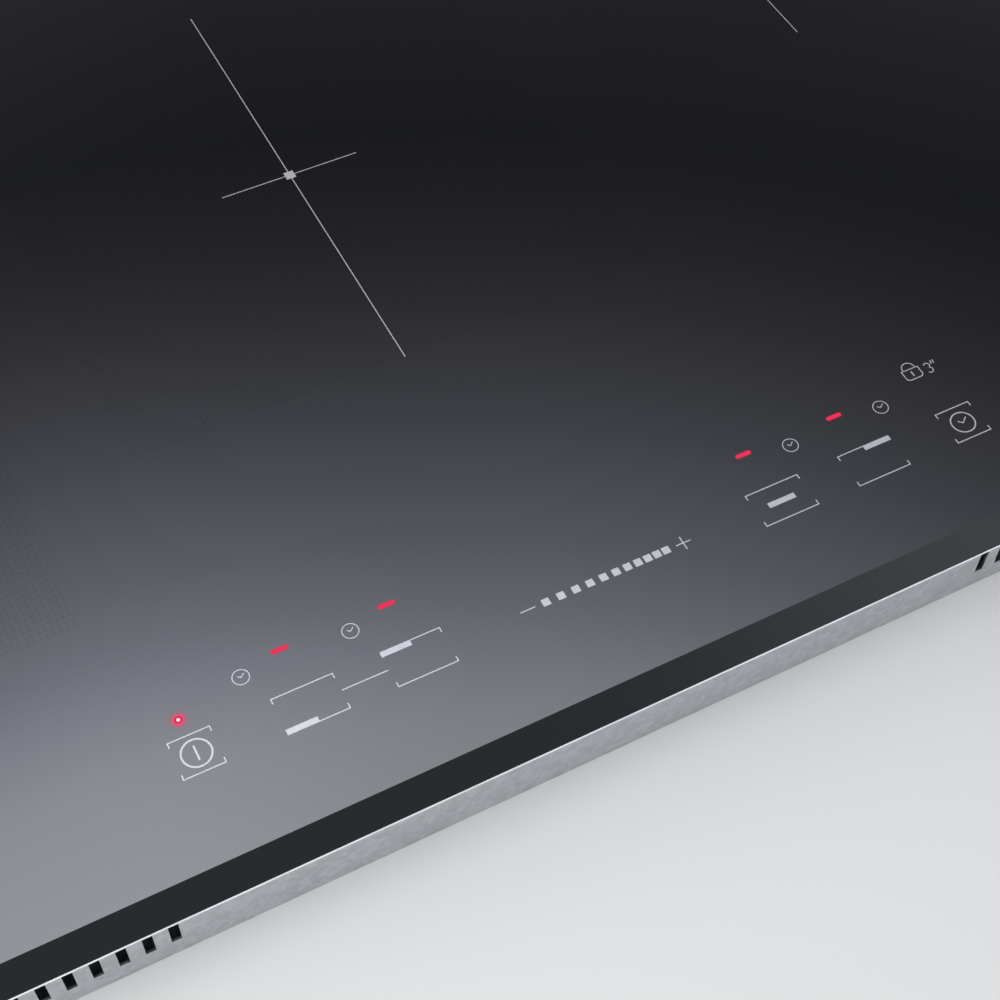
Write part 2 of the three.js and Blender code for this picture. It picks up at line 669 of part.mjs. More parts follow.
function moduleStandoffs() {
  const x = MODULE_WIDTH / 2 - WALL - BOARD_MARGIN - 2 * STANDOFF_RADIUS;
  const y = MODULE_DEPTH / 2 - BOARD_MARGIN - 2 * STANDOFF_RADIUS;
  return [-x, x].flatMap((px) => [-y, 0, y].map((py) => [px, py]));
}

function inverterCarrier() {
  const halfX = MODULE_WIDTH / 2;
  const halfY = MODULE_DEPTH / 2;
  const floor = box(-halfX, halfX, -halfY, halfY, floorTop, floorTop + WALL);
  const walls = [-1, 1].flatMap((side) => [
    block(side * (halfX - WALL / 2), 0, WALL, MODULE_DEPTH, floorTop, supportTop),
    block(side * (halfX - LEDGE_WIDTH / 2), 0, LEDGE_WIDTH, MODULE_DEPTH, supportTop - WALL, supportTop),
  ]);
  const standoffs = rodsAt(moduleStandoffs(), STANDOFF_RADIUS, floorTop + WALL / 2, boardUnder - SEAT);
  return join(floor, ...walls, ...standoffs);
}

function powerBoard() {
  const halfX = MODULE_WIDTH / 2 - WALL - BOARD_MARGIN;
  const halfY = MODULE_DEPTH / 2 - BOARD_MARGIN;
  const board = plate(centredShape(halfX, halfY, BOARD_CORNER), boardUnder, boardTop);
  return cut(board, ...screwHoles(moduleStandoffs()));
}

// Finned aluminium extrusion: its fins run with the blower's air.
function heatSink() {
  const z0 = boardTop + SEAT;
  const half = SINK_LENGTH / 2;
  const base = box(-SINK_WIDTH / 2, SINK_WIDTH / 2, -half, half, z0, z0 + SINK_BASE);
  const pitch = (SINK_WIDTH - FIN_THICK) / (SINK_FINS - 1);
  const fins = [];
  for (let i = 0; i < SINK_FINS; i += 1) {
    const x = -SINK_WIDTH / 2 + i * pitch;
    fins.push(box(x, x + FIN_THICK, -half, half, z0 + SINK_BASE / 2, z0 + SINK_HEIGHT));
  }
  return join(base, ...fins);
}

// Power switches clamped in a row against the heat sink's side.
function switchBank(side) {
  const z0 = boardTop + SEAT;
  const face = SINK_WIDTH / 2 + SEAT;
  const barX = side * (face + SWITCH_THICK - CLAMP_THICK / 2);
  const barFoot = z0 + CLAMP_RISE;
  const bar = block(barX, 0, CLAMP_THICK, SWITCH_LENGTH, barFoot, barFoot + CLAMP_HEIGHT);
  const pitch = SWITCH_LENGTH / SWITCHES;
  const depth = SWITCH_THICK - CLAMP_THICK / 2; // the bar lets into the packages
  const x = side * (face + depth / 2);
  const packages = [];
  for (let i = 0; i < SWITCHES; i += 1) {
    const y = (i - (SWITCHES - 1) / 2) * pitch;
    packages.push(block(x, y, depth, pitch - SWITCH_GAP, z0, z0 + SWITCH_HEIGHT));
  }
  return join(bar, ...packages);
}

// Film capacitors potted side by side on one base.
function capacitorBank(side) {
  const z0 = boardTop + SEAT;
  const x = -side * (SINK_WIDTH / 2 + CAPACITOR_SIDE);
  const pitch = CAPACITOR_THICK + CAPACITOR_GAP;
  const base = block(x, 0, CAPACITOR_LENGTH, pitch * CAPACITORS, z0, z0 + CAPACITOR_BASE);
  const length = CAPACITOR_LENGTH - CAPACITOR_BASE;
  const foot = z0 + CAPACITOR_BASE / 2;
  const bodies = [];
  for (let i = 0; i < CAPACITORS; i += 1) {
    const y = (i - (CAPACITORS - 1) / 2) * pitch;
    bodies.push(block(x, y, length, CAPACITOR_THICK, foot, z0 + CAPACITOR_HEIGHT));
  }
  return join(base, ...bodies);
}

// Plan of a blower's scroll about the rotor's axis, grown outwards by the wall.
// It is a spiral that opens to the duct.
function scrollShape(grow) {
  const start = FAN_RADIUS + FAN_CLEAR + grow;
  const ductLeft = start - DUCT_WIDTH - 2 * grow + SCROLL_GROWTH;
  const tongue = Math.acos(ductLeft / start);
  const points = [];
  for (let i = 0; i <= SCROLL_STEPS; i += 1) {
    const share = i / SCROLL_STEPS;
    const angle = tongue + (2 * Math.PI - tongue) * share;
    const radius = start + SCROLL_GROWTH * share;
    points.push([radius * Math.cos(angle), radius * Math.sin(angle)]);
  }
  const mouth = ductReach + (grow > 0 ? 0 : OVERCUT);
  points.push([start + SCROLL_GROWTH, mouth], [ductLeft, mouth]);
  return outline(points);
}

function fanScroll() {
  const top = fanZ + FAN_HEIGHT + FAN_CLEAR;
  const shell = plate(scrollShape(SCROLL_WALL), floorTop, top + SCROLL_WALL);
  const room = plate(scrollShape(0), floorTop + SCROLL_WALL, top);
  const inlet = rod(FAN_INTAKE, floorTop - OVERCUT, floorTop + SCROLL_WALL + OVERCUT, 0, 0, COIL_SIDES);
  const motor = rod(FAN_HUB - 1, top - FAN_CLEAR + 1, top + SCROLL_WALL / 2, 0, 0, GLAND_SIDES);
  const shaft = rod(SHAFT_RADIUS, fanZ + SHAFT_RADIUS, top, 0, 0, BORE_SIDES);
  return join(cut(shell, room, inlet), motor, shaft);
}

function fanRotor() {
  const top = fanZ + FAN_HEIGHT;
  const bore = rod(SHAFT_RADIUS + SHAFT_CLEAR, fanZ - OVERCUT, top + OVERCUT, 0, 0, BORE_SIDES);
  const disc = rod(FAN_RADIUS - 2 * BLADE_INSET, top - ROTOR_DISC, top, 0, 0, RIM_SIDES);
  const hub = rod(FAN_HUB, top - HUB_HEIGHT, top, 0, 0, BORE_SIDES);
  const ringShape = ringProfile(FAN_RADIUS - BLADE_CHORD, FAN_RADIUS, fanZ, fanZ + ROTOR_DISC);
  const ring = turned(ringShape, 0, 0, RIM_SIDES);
  const length = BLADE_CHORD - 2 * BLADE_INSET;
  const blade = block(0, 0, length, BLADE_THICK, fanZ + BLADE_INSET, top - BLADE_INSET)
    .rotate([0, 0, BLADE_ANGLE])
    .translate([FAN_RADIUS - BLADE_CHORD / 2 - BLADE_INSET, 0, 0]);
  const blades = [];
  for (let i = 0; i < FAN_BLADES; i += 1) {
    blades.push(blade.rotate([0, 0, (i * 360) / FAN_BLADES]));
  }
  return cut(join(disc, hub, ring, ...blades), bore);
}

function addInverterModule(name, side) {
  const module = new THREE.Group();
  module.position.set(side * moduleX, (moduleFront + moduleRear) / 2, 0);
  hob.add(module);
  addPart(`inverter_carrier_${name}`, inverterCarrier(), "greyPlastic", module);
  addPart(`power_board_${name}`, powerBoard(), "board", module);
  addPart(`heat_sink_${name}`, heatSink(), "aluminium", module);
  addPart(`switch_bank_${name}`, switchBank(side), "package", module);
  addPart(`capacitor_bank_${name}`, capacitorBank(side), "bluePlastic", module);

  const fan = new THREE.Group();
  fan.position.set(side * moduleX, fanY, 0);
  hob.add(fan);
  addPart(`fan_scroll_${name}`, fanScroll(), "blackPlastic", fan);
  addPart(`fan_rotor_${name}`, fanRotor(), "greyPlastic", fan);
}

// ---------- mains filter ----------
function filterMiddle() {
  return -insideY + FILTER_FRONT + FILTER_DEPTH / 2;
}

function filterPostPlaces() {
  const x = FILTER_WIDTH / 2 - 2 * STANDOFF_RADIUS;
  const y = FILTER_DEPTH / 2 - 2 * STANDOFF_RADIUS;
  return [-x, x].flatMap((px) => [-y, y].map((py) => [px, filterMiddle() + py]));
}

function filterBoard() {
  const y = filterMiddle();
  const halfX = FILTER_WIDTH / 2;
  const halfY = FILTER_DEPTH / 2;
  const shape = roundedShape(-halfX, halfX, y - halfY, y + halfY, BOARD_CORNER);
  return cut(plate(shape, boardUnder, boardTop), ...screwHoles(filterPostPlaces()));
}

function filterChoke() {
  const torus = new THREE.TorusGeometry(CHOKE_RADIUS, CHOKE_SECTION, VENT_SIDES, GLAND_SIDES);
  const lift = boardTop + SEAT + CHOKE_SECTION;
  return toSolid(torus.translate(-FILTER_WIDTH / 4, filterMiddle(), lift));
}

function filterCapacitor() {
  const z0 = boardTop + SEAT;
  const z1 = z0 + CAPACITOR_HEIGHT;
  return block(FILTER_WIDTH / 5, filterMiddle(), CAPACITOR_LENGTH, CAPACITOR_THICK, z0, z1);
}

// ---------- touch controls ----------
// A box over the touch panel's plan, drawn in by an inset.
function panelBox(inset, z0, z1) {
  return box(panelLeft + inset, panelRight - inset, panelFront + inset, panelRear - inset, z0, z1);
}

function panelPlate(inset, z0, z1) {
  const x = [panelLeft + inset, panelRight - inset];
  return plate(roundedShape(...x, panelFront + inset, panelRear - inset, BOARD_CORNER), z0, z1);
}

function controlCarrier() {
  const wallTop = controlUnder - SEAT;
  const outer = panelBox(0, carrierUnder, wallTop);
  const room = panelBox(WALL, carrierUnder + WALL, wallTop + OVERCUT);
  const tongues = [-1, 0, 1].map((i) => {
    const x = PANEL_CENTRE + (i * PANEL_WIDTH) / 3;
    const front = panelFront - TONGUE_REACH - WALL / 2;
    const across = [x - TONGUE_WIDTH / 2, x + TONGUE_WIDTH / 2];
    return box(...across, front, panelFront + WALL / 2, wallTop - WALL, wallTop);
  });
  const legs = [-1, 1].map((i) => {
    const x = PANEL_CENTRE + i * LEG_REACH;
    return block(x, (panelFront + panelRear) / 2, LEG_SIZE, LEG_SIZE, floorTop, carrierUnder + WALL);
  });
  return join(cut(outer, room), ...tongues, ...legs);
}

function controlBoard() {
  return panelPlate(0, controlUnder, controlTop);
}

// Black plastic mask on the board, with a well over each lamp.
function lightGuide() {
  const middle = (panelFront + panelRear) / 2;
  const through = [lightUnder - OVERCUT, lightTop + OVERCUT];
  const wells = LAMP_WELLS.map((x) =>
    block(PANEL_CENTRE + x, middle, LAMP_WELL, PANEL_DEPTH / 2, ...through),
  );
  return cut(panelPlate(BOARD_MARGIN, lightUnder, lightTop), ...wells);
}

// ---------- mains connection ----------
function terminalBox() {
  const walled = (inset) => {
    const x = [boxLeft + inset, boxRight - inset];
    const z = [floorTop + inset, floorTop + BOX_HEIGHT - inset];
    return box(...x, boxFront + inset, boxRear - inset, ...z);
  };
  const shell = walled(0);
  const room = walled(WALL);
  const wall = [boxRear - 2 * WALL, boxRear + OVERCUT];
  const mouth = box(lidLeft, lidRight, ...wall, floorTop + WALL, lidTop - WALL);
  const glandHole = rodY(glandOuter + GLAND_CLEAR, ...wall, glandX, glandZ);
  const ears = [pinLeft, pinRight].map((x) =>
    box(
      x - EAR_SIZE / 2,
      x + EAR_SIZE / 2,
      boxRear - WALL,
      hingeY + EAR_SIZE,
      HINGE_RISE - EAR_SIZE,
      HINGE_RISE + EAR_SIZE,
    ),
  );
  const pinHoleEnds = [pinLeft - EAR_SIZE, pinRight + EAR_SIZE];
  const pinHole = rodX(PIN_RADIUS + SHAFT_CLEAR, ...pinHoleEnds, hingeY, HINGE_RISE);
  return cut(join(shell, ...ears), room, mouth, glandHole, pinHole);
}

function terminalCover() {
  const span = [lidLeft + LID_CLEAR, lidRight - LID_CLEAR];
  const face = hingeY + LID_THICK / 2;
  const panel = box(...span, face - LID_THICK, face, HINGE_RISE, lidTop);
  const knuckle = rodX(KNUCKLE_RADIUS, ...span, hingeY, HINGE_RISE);
  const pin = rodX(PIN_RADIUS, pinLeft, pinRight, hingeY, HINGE_RISE);
  const gripTop = lidTop - GRIP_THICK;
  const middle = (lidLeft + lidRight) / 2;
  const grip = block(middle, face, GRIP_WIDTH, 2 * GLAND_LIP, gripTop - GRIP_THICK, gripTop);
  const ribs = [-1, 0, 1].map((i) => {
    const x = middle + (i * LID_WIDTH) / 4;
    return block(x, face, RIB_SIZE, RIB_SIZE, HINGE_RISE + RIB_FOOT, lidTop - RIB_HEAD);
  });
  return join(panel, knuckle, pin, grip, ...ribs);
}

function terminalBlock() {
  const x = (lidLeft + lidRight) / 2;
  const y = boxFront + WALL + BLOCK_GAP + BLOCK_DEPTH / 2;
  const z0 = floorTop + WALL + SEAT;
  const top = z0 + BLOCK_HEIGHT;
  const body = block(x, y, BLOCK_POLES * POLE_PITCH, BLOCK_DEPTH, z0, top);
  const pockets = [];
  for (let i = 0; i < BLOCK_POLES; i += 1) {
    const px = x + (i - (BLOCK_POLES - 1) / 2) * POLE_PITCH;
    pockets.push(rod(SCREW_WELL, top - SCREW_WELL_DEPTH, top + OVERCUT, px, y, POST_SIDES));
    pockets.push(rodY(WIRE_HOLE, y, y + BLOCK_DEPTH, px, z0 + WIRE_HOLE_RISE, POST_SIDES));
  }
  return cut(body, ...pockets);
}

function cableGland() {
  const nut = boxRear - WALL - SEAT;
  const outside = trayHalfY + SEAT;
  const around = [glandX, glandZ, GLAND_SIDES];
  const sleeve = rodY(glandOuter, nut - GLAND_NUT / 2, outside + GLAND_LIP / 2, ...around);
  const inner = rodY(glandOuter + GLAND_RIM, nut - GLAND_NUT, nut, glandX, glandZ, POST_SIDES);
  const lip = rodY(glandOuter + GLAND_RIM, outside, outside + GLAND_LIP, ...around);
  const bore = rodY(GLAND_BORE, nut - GLAND_NUT - OVERCUT, outside + GLAND_LIP + OVERCUT, ...around);
  return cut(join(sleeve, inner, lip), bore);
}

// ---------- spring clips that hold the tray in the cut-out ----------
function fixingClip(side, y) {
  const at = (out, z) => [side * (trayHalfX + out), z];
  const rest = SKIRT_CLEAR;
  const points = [
    at(rest, CLIP_FOOT),
    at(rest + CLIP_SHEET, CLIP_FOOT),
    at(rest + CLIP_SHEET, CLIP_FOOT + CLIP_FOOT_HEIGHT - CLIP_FOLD),
    at(CLIP_BULGE, CLIP_CROWN - CLIP_NOSE),
    at(CLIP_BULGE, CLIP_CROWN + CLIP_NOSE),
    at(CLIP_SHEET - CLIP_TUCK, CLIP_TIP),
    at(-CLIP_TUCK, CLIP_TIP - CLIP_NOSE - CLIP_FOLD),
    at(CLIP_BULGE - CLIP_SHEET, CLIP_CROWN),
    at(rest, CLIP_FOOT + CLIP_FOOT_HEIGHT),
  ];
  const ordered = side > 0 ? points : points.reverse();
  return alongY(ordered, y - CLIP_WIDTH / 2, y + CLIP_WIDTH / 2);
}

// ---------- assembly ----------
addPart("glass_top", glassTop(), "glass");
addPart("glass_bond", glassBond(), "silicone");
addPart("top_frame", topFrame(), "zincSteel");
addPart("rim_seal", rimSeal(), "foam");
addPart("bottom_tray", bottomTray(), "zincSteel");
addDecks();
COILS.forEach(addCoil);
addInverterModule("left", -1);
addInverterModule("right", 1);
addPart("filter_board", filterBoard(), "board");
addPart("filter_choke", filterChoke(), "copper");
addPart("filter_capacitor", filterCapacitor(), "bluePlastic");
addPart("control_carrier", controlCarrier(), "whitePlastic");
addPart("control_board", controlBoard(), "board");
addPart("light_guide", lightGuide(), "blackPlastic");
addPart("terminal_box", terminalBox(), "blackPlastic");
addPart("terminal_cover", terminalCover(), "blackPlastic");
addPart("terminal_block", terminalBlock(), "whitePlastic");
addPart("cable_gland", cableGland(), "blackPlastic");
addPart("fixing_clip_front_left", fixingClip(-1, -clipY), "springSteel");
addPart("fixing_clip_front_right", fixingClip(1, -clipY), "springSteel");
addPart("fixing_clip_rear_left", fixingClip(-1, clipY), "springSteel");
addPart("fixing_clip_rear_right", fixingClip(1, clipY), "springSteel");

export default hob;
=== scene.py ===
"""Looks of a built-in induction hob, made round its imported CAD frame."""

import functools
import logging
import math
from collections.abc import Callable, Iterable, Sequence
from dataclasses import dataclass, field
from enum import Enum

import bmesh
import bpy
from mathutils import Matrix, Vector


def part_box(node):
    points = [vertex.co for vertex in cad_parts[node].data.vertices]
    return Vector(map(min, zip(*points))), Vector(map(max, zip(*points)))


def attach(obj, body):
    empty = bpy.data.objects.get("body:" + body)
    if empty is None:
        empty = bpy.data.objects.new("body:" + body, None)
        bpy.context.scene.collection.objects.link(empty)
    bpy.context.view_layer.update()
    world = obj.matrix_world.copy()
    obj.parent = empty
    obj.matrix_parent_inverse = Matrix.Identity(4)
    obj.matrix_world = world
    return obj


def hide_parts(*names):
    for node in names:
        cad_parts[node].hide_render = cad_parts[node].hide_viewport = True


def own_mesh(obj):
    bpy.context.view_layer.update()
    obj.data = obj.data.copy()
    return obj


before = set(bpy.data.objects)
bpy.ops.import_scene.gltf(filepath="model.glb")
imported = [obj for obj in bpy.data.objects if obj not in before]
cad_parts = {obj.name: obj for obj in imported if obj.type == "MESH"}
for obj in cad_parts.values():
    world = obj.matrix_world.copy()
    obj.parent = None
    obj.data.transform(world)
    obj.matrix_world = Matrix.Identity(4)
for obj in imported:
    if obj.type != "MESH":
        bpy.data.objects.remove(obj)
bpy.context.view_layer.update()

MM = 0.001
COARSE_MERGE = 1e-6
FINE_MERGE = 1e-7
CASE = "case"

log = logging.getLogger("hob")

Colour = tuple[float, float, float]
Point = tuple[float, float]
Place = tuple[float, float, float]
Span = tuple[float, float, float, float]
Work = bmesh.types.BMesh
Piece = bpy.types.Object


class Way(Enum):
    """Which way a repeated part faces."""

    UP = (0.0, 0.0, 1.0)
    DOWN = (0.0, 0.0, -1.0)
    LEFT = (-1.0, 0.0, 0.0)
    RIGHT = (1.0, 0.0, 0.0)
    FRONT = (0.0, -1.0, 0.0)
    REAR = (0.0, 1.0, 0.0)


class Row(Enum):
    """Where a key's bar lies between its brackets."""

    FRONT = "front"
    MIDDLE = "middle"
    REAR = "rear"


# ---------------------------------------------------------------- node trees


class Num:
    """An output in a node tree; arithmetic on it adds Math nodes."""

    def __init__(self, graph: "Graph", socket: bpy.types.NodeSocket) -> None:
        """Keeps the socket and the graph that it belongs to."""
        self.graph = graph
        self.socket = socket

    def __add__(self, other: "Value") -> "Num":
        """This plus the other."""
        return self.graph.sum("ADD", self, other)

    def __sub__(self, other: "Value") -> "Num":
        """This less the other."""
        return self.graph.sum("SUBTRACT", self, other)

    def __rsub__(self, other: "Value") -> "Num":
        """The other less this."""
        return self.graph.sum("SUBTRACT", other, self)

    def __mul__(self, other: "Value") -> "Num":
        """This times the other."""
        return self.graph.sum("MULTIPLY", self, other)

    def __truediv__(self, other: "Value") -> "Num":
        """This divided by the other."""
        return self.graph.sum("DIVIDE", self, other)


Value = float | tuple | Num


class Graph:
    """Short calls for wiring one node tree."""

    def __init__(self, tree: bpy.types.NodeTree) -> None:
        """Works on the given tree."""
        self.tree = tree

    def feed(self, socket: bpy.types.NodeSocket, value: Value) -> None:
        """Links an input to an output, or gives it a value.

        Args:
            socket: The input.
            value: An output, or a plain value.
        """
        if isinstance(value, Num):
            self.tree.links.new(value.socket, socket)
        else:
            socket.default_value = value

    def node(self, kind: str, feeds: dict | None = None, **settings: object) -> bpy.types.Node:
        """Adds a node.

        Args:
            kind: Blender's name of the node type.
            feeds: Values by input name or number.
            **settings: Properties of the node itself.

        Returns:
            The new node.
        """
        made = self.tree.nodes.new(kind)
        for key, value in settings.items():
            setattr(made, key, value)
        for key, value in (feeds or {}).items():
            self.feed(made.inputs[key], value)
        return made

    def out(
        self, kind: str, feeds: dict | None = None, key: str | int = 0, **settings: object
    ) -> Num:
        """Adds a node and returns one of its outputs, the first unless key says another."""
        return Num(self, self.node(kind, feeds, **settings).outputs[key])

    def sum(self, operation: str, *values: Value, clamp: bool = False) -> Num:
        """Adds a Math node; clamp keeps its result between 0 and 1."""
        feeds = dict(enumerate(values))
        return self.out("ShaderNodeMath", feeds, operation=operation, use_clamp=clamp)

    def vector(self, operation: str, *values: Value) -> Num:
        """Adds a Vector Math node."""
        return self.out("ShaderNodeVectorMath", dict(enumerate(values)), operation=operation)

    def spread(
        self, value: Value, low: Value, high: Value, start: Value = 0.0, end: Value = 1.0
    ) -> Num:
        """Maps low..high smoothly on to start..end, and holds it beyond them."""
        feeds = {"Value": value, "From Min": low, "From Max": high, "To Min": start, "To Max": end}
        return self.out("ShaderNodeMapRange", feeds, "Result", interpolation_type="SMOOTHSTEP")

    def mix(self, share: Value, first: Value, second: Value) -> Num:
        """Mixes two colours; their inputs on the Mix node are numbers 6 and 7."""
        return self.out("ShaderNodeMix", {0: share, 6: first, 7: second}, 2, data_type="RGBA")

    def noise(self, place: Value, scale: Value, detail: float = 3.0) -> Num:
        """Adds a noise texture."""
        return self.out("ShaderNodeTexNoise", {"Vector": place, "Scale": scale, "Detail": detail})

    def axes(self, place: Value) -> list[Num]:
        """Takes a vector apart into its three numbers."""
        parts = self.node("ShaderNodeSeparateXYZ", {"Vector": place}).outputs
        return [Num(self, part) for part in parts]


def opaque(colour: Iterable[float]) -> tuple[float, float, float, float]:
    """Adds a full alpha to a colour."""
    return (*colour, 1.0)


# ------------------------------------------------------------ shader effects


class Effect:
    """A shader group that finishes share; it is built when it is first added."""

    inputs: tuple[str, ...] = ()
    outputs: tuple[str, ...] = ()

    @staticmethod
    def wire(graph: Graph, vector: Num, *inputs: Num) -> list[Num]:
        """Builds the group's nodes and returns its outputs; each effect has its own."""
        raise NotImplementedError

    @classmethod
    def _tree(cls) -> bpy.types.NodeTree:
        """Builds the group.

        Returns:
            The group's tree.
        """
        tree = bpy.data.node_groups.new(f"effect_{cls.__name__.lower()}", "ShaderNodeTree")
        face = tree.interface
        face.new_socket("Vector", in_out="INPUT", socket_type="NodeSocketVector")
        for way, keys in (("INPUT", cls.inputs), ("OUTPUT", cls.outputs)):
            for key in keys:
                face.new_socket(key, in_out=way, socket_type="NodeSocketFloat")
        graph = Graph(tree)
        given = graph.node("NodeGroupInput").outputs
        results = cls.wire(graph, *(Num(graph, given[key]) for key in ("Vector", *cls.inputs)))
        graph.node("NodeGroupOutput", dict(zip(cls.outputs, results)))
        return tree

    @classmethod
    def add(cls, to: "Surface", *values: Value, place: Num | None = None) -> list[Num]:
        """Adds the group to a material.

        Args:
            to: The material's surface.
            *values: The group's inputs in order.
            place: Where it is read, when that isn't the surface's own place.

        Returns:
            The group's outputs in order.
        """
        tree = bpy.data.node_groups.get(f"effect_{cls.__name__.lower()}") or cls._tree()
        feeds = dict(zip(("Vector", *cls.inputs), (place or to.place, *values)))
        made = to.node("ShaderNodeGroup", feeds, node_tree=tree)
        return [Num(to, socket) for socket in made.outputs]


class Grain(Effect):
    """Moulded or cast skin: Skin is its texture, Mottle a slow unevenness."""

    inputs = ("Fine", "Broad")
    outputs = ("Skin", "Mottle")

    @staticmethod
    def wire(graph: Graph, vector: Num, fine: Num, broad: Num) -> list[Num]:
        """Two noises, the broad one with more contrast."""
        mottle = graph.noise(vector, broad, detail=5.0)
        return [graph.noise(vector, fine, detail=4.0), graph.spread(mottle, low=0.3, high=0.7)]


class Wear(Effect):
    """Handling: Scuff marks short rubbed streaks, Smudge the trace of hands."""

    inputs = ("Scale", "Amount")
    outputs = ("Scuff", "Smudge")
    stretch = (1.0, 7.0, 3.0)

    @staticmethod
    def wire(graph: Graph, vector: Num, scale: Num, amount: Num) -> list[Num]:
        """Streaks that show only where a slow noise lets them through.

        Args:
            graph: The group's graph.
            vector: Where the surface is.
            scale: Scale of the streaks.
            amount: How many streaks there are, from 0 to 1.

        Returns:
            Scuff and Smudge.
        """
        streak = graph.noise(graph.vector("MULTIPLY", vector, Wear.stretch), scale, detail=6.0)
        low = 0.75 - amount * 0.2
        smudge = graph.spread(graph.noise(vector, scale * 0.2, detail=2.0), low=0.4, high=0.75)
        return [graph.spread(streak, low, low + 0.06) * smudge, smudge]


class Spangle(Effect):
    """Zinc crystals on dipped sheet: Flake is each crystal's own tone, Rim its border."""

    inputs = ("Scale",)
    outputs = ("Flake", "Rim")
    bend = 0.0015

    @staticmethod
    def wire(graph: Graph, vector: Num, scale: Num) -> list[Num]:
        """Cells whose borders are bent a little by a noise.

        Args:
            graph: The group's graph.
            vector: Where the surface is.
            scale: Scale of the crystals.

        Returns:
            Flake and Rim.
        """
        bent = graph.out("ShaderNodeTexNoise", {"Vector": vector, "Scale": scale}, "Color")
        feeds = {0: bent, "Scale": Spangle.bend}
        moved = graph.out("ShaderNodeVectorMath", feeds, operation="SCALE")
        feeds = {"Vector": graph.vector("ADD", vector, moved), "Scale": scale}
        flake = graph.axes(graph.out("ShaderNodeTexVoronoi", feeds, "Color"))[0]
        edge = graph.out("ShaderNodeTexVoronoi", feeds, "Distance", feature="DISTANCE_TO_EDGE")
        return [flake, graph.spread(edge, low=0.0, high=0.06, start=1.0, end=0.0)]


class Strokes(Effect):
    """Fine parallel lines from rolling or brushing, read from a stretched place."""

    inputs = ("Scale",)
    outputs = ("Line",)

    @staticmethod
    def wire(graph: Graph, vector: Num, scale: Num) -> list[Num]:
        """Fine lines with broader ones below them."""
        fine, broad = (graph.noise(vector, part, detail=2.0) for part in (scale, scale * 0.23))
        return [graph.spread(fine * 0.6 + broad * 0.4, low=0.3, high=0.7)]


class Raster(Effect):
    """Square raster of round printed dots; Dot is 1 inside them."""

    inputs = ("Pitch", "Dot")
    outputs = ("Dot",)

    @staticmethod
    def wire(graph: Graph, vector: Num, pitch: Num, dot: Num) -> list[Num]:
        """Distance from the middle of each square of the raster.

        Args:
            graph: The group's graph.
            vector: Where the surface is.
            pitch: Distance between dots.
            dot: Diameter of a dot.

        Returns:
            Dot.
        """
        offs = []
        for part in graph.axes(vector)[:2]:
            cell = graph.sum("FRACT", part / pitch)
            offs.append(graph.sum("POWER", cell - 0.5, 2.0))
        away = graph.sum("SQRT", offs[0] + offs[1]) * pitch
        radius = dot * 0.5
        return [graph.spread(away, radius * 0.8, radius * 1.15, start=1.0, end=0.0)]


class Window(Effect):
    """Rectangle in plan with slightly soft edges; Inside is 1 in it."""

    inputs = ("Left", "Right", "Front", "Rear")
    outputs = ("Inside",)
    soft = 0.2 * MM

    @staticmethod
    def wire(graph: Graph, vector: Num, *edges: Num) -> list[Num]:
        """Product of the four sides' soft steps.

        Args:
            graph: The group's graph.
            vector: Where the surface is.
            *edges: Left, right, front and rear edge.

        Returns:
            Inside.
        """
        inside: Value = 1.0
        parts = graph.axes(vector)
        for number, edge in enumerate(edges):
            gap = (parts[number // 2] - edge) * (-1.0 if number % 2 else 1.0)
            inside = graph.spread(gap, -Window.soft, Window.soft) * inside
        return [inside]


# ------------------------------------------------------------------ finishes


class Surface(Graph):
    """A material's tree, with its shader and where on the object it is read."""

    def __init__(self, tree: bpy.types.NodeTree, finish: "Finish") -> None:
        """Adds the shader with the finish's plain values.

        Args:
            tree: The material's tree, which is emptied.
            finish: The finish that the material shows.
        """
        super().__init__(tree)
        tree.nodes.clear()
        self.finish = finish
        self.shader = self.node("ShaderNodeBsdfPrincipled")
        self.place = self.out("ShaderNodeTexCoord", key="Object")
        self.set(Base_Color=finish.shade(1.0), Roughness=finish.roughness)
        self.set(Metallic=finish.metallic, IOR=finish.index)
        self.node("ShaderNodeOutputMaterial", {"Surface": Num(self, self.shader.outputs["BSDF"])})

    def set(self, **values: Value) -> None:
        """Feeds inputs of the shader, written with _ for a space."""
        for key, value in values.items():
            self.feed(self.shader.inputs[key.replace("_", " ")], value)

    def tone(self, share: Value, dark: float, light: float) -> None:
        """Runs the base colour between two shades of the finish's own."""
        self.set(Base_Color=self.mix(share, self.finish.shade(dark), self.finish.shade(light)))

    def rough(
        self, value: Value, start: float, end: float, low: float = 0.0, high: float = 1.0
    ) -> Num:
        """Roughness that runs from the finish's own plus start to its own plus end.

        Args:
            value: What it follows.
            start: Change of roughness where the value is low.
            end: Change of roughness where the value is high.
            low: The low value.
            high: The high value.

        Returns:
            The roughness, which the shader takes.
        """
        own = self.finish.roughness
        made = self.spread(value, low, high, own + start, own + end)
        self.set(Roughness=made)
        return made

    def coat(self, weight: Value, roughness: float) -> None:
        """Lays a clear glossy coat over the surface."""
        self.set(Coat_Weight=weight, Coat_Roughness=roughness, Coat_IOR=1.45)

    def relief(self, height: Value, depth: float) -> None:
        """Raises the surface's normal by a height from 0 to 1, which is depth in metres."""
        feeds = {"Height": height, "Distance": depth, "Strength": 1.0}
        self.set(Normal=self.out("ShaderNodeBump", feeds))

    def lines(self, along: Place, scale: float) -> Num:
        """Fine parallel lines, stretched by the factors in along."""
        return Strokes.add(self, scale, place=self.vector("MULTIPLY", self.place, along))[0]


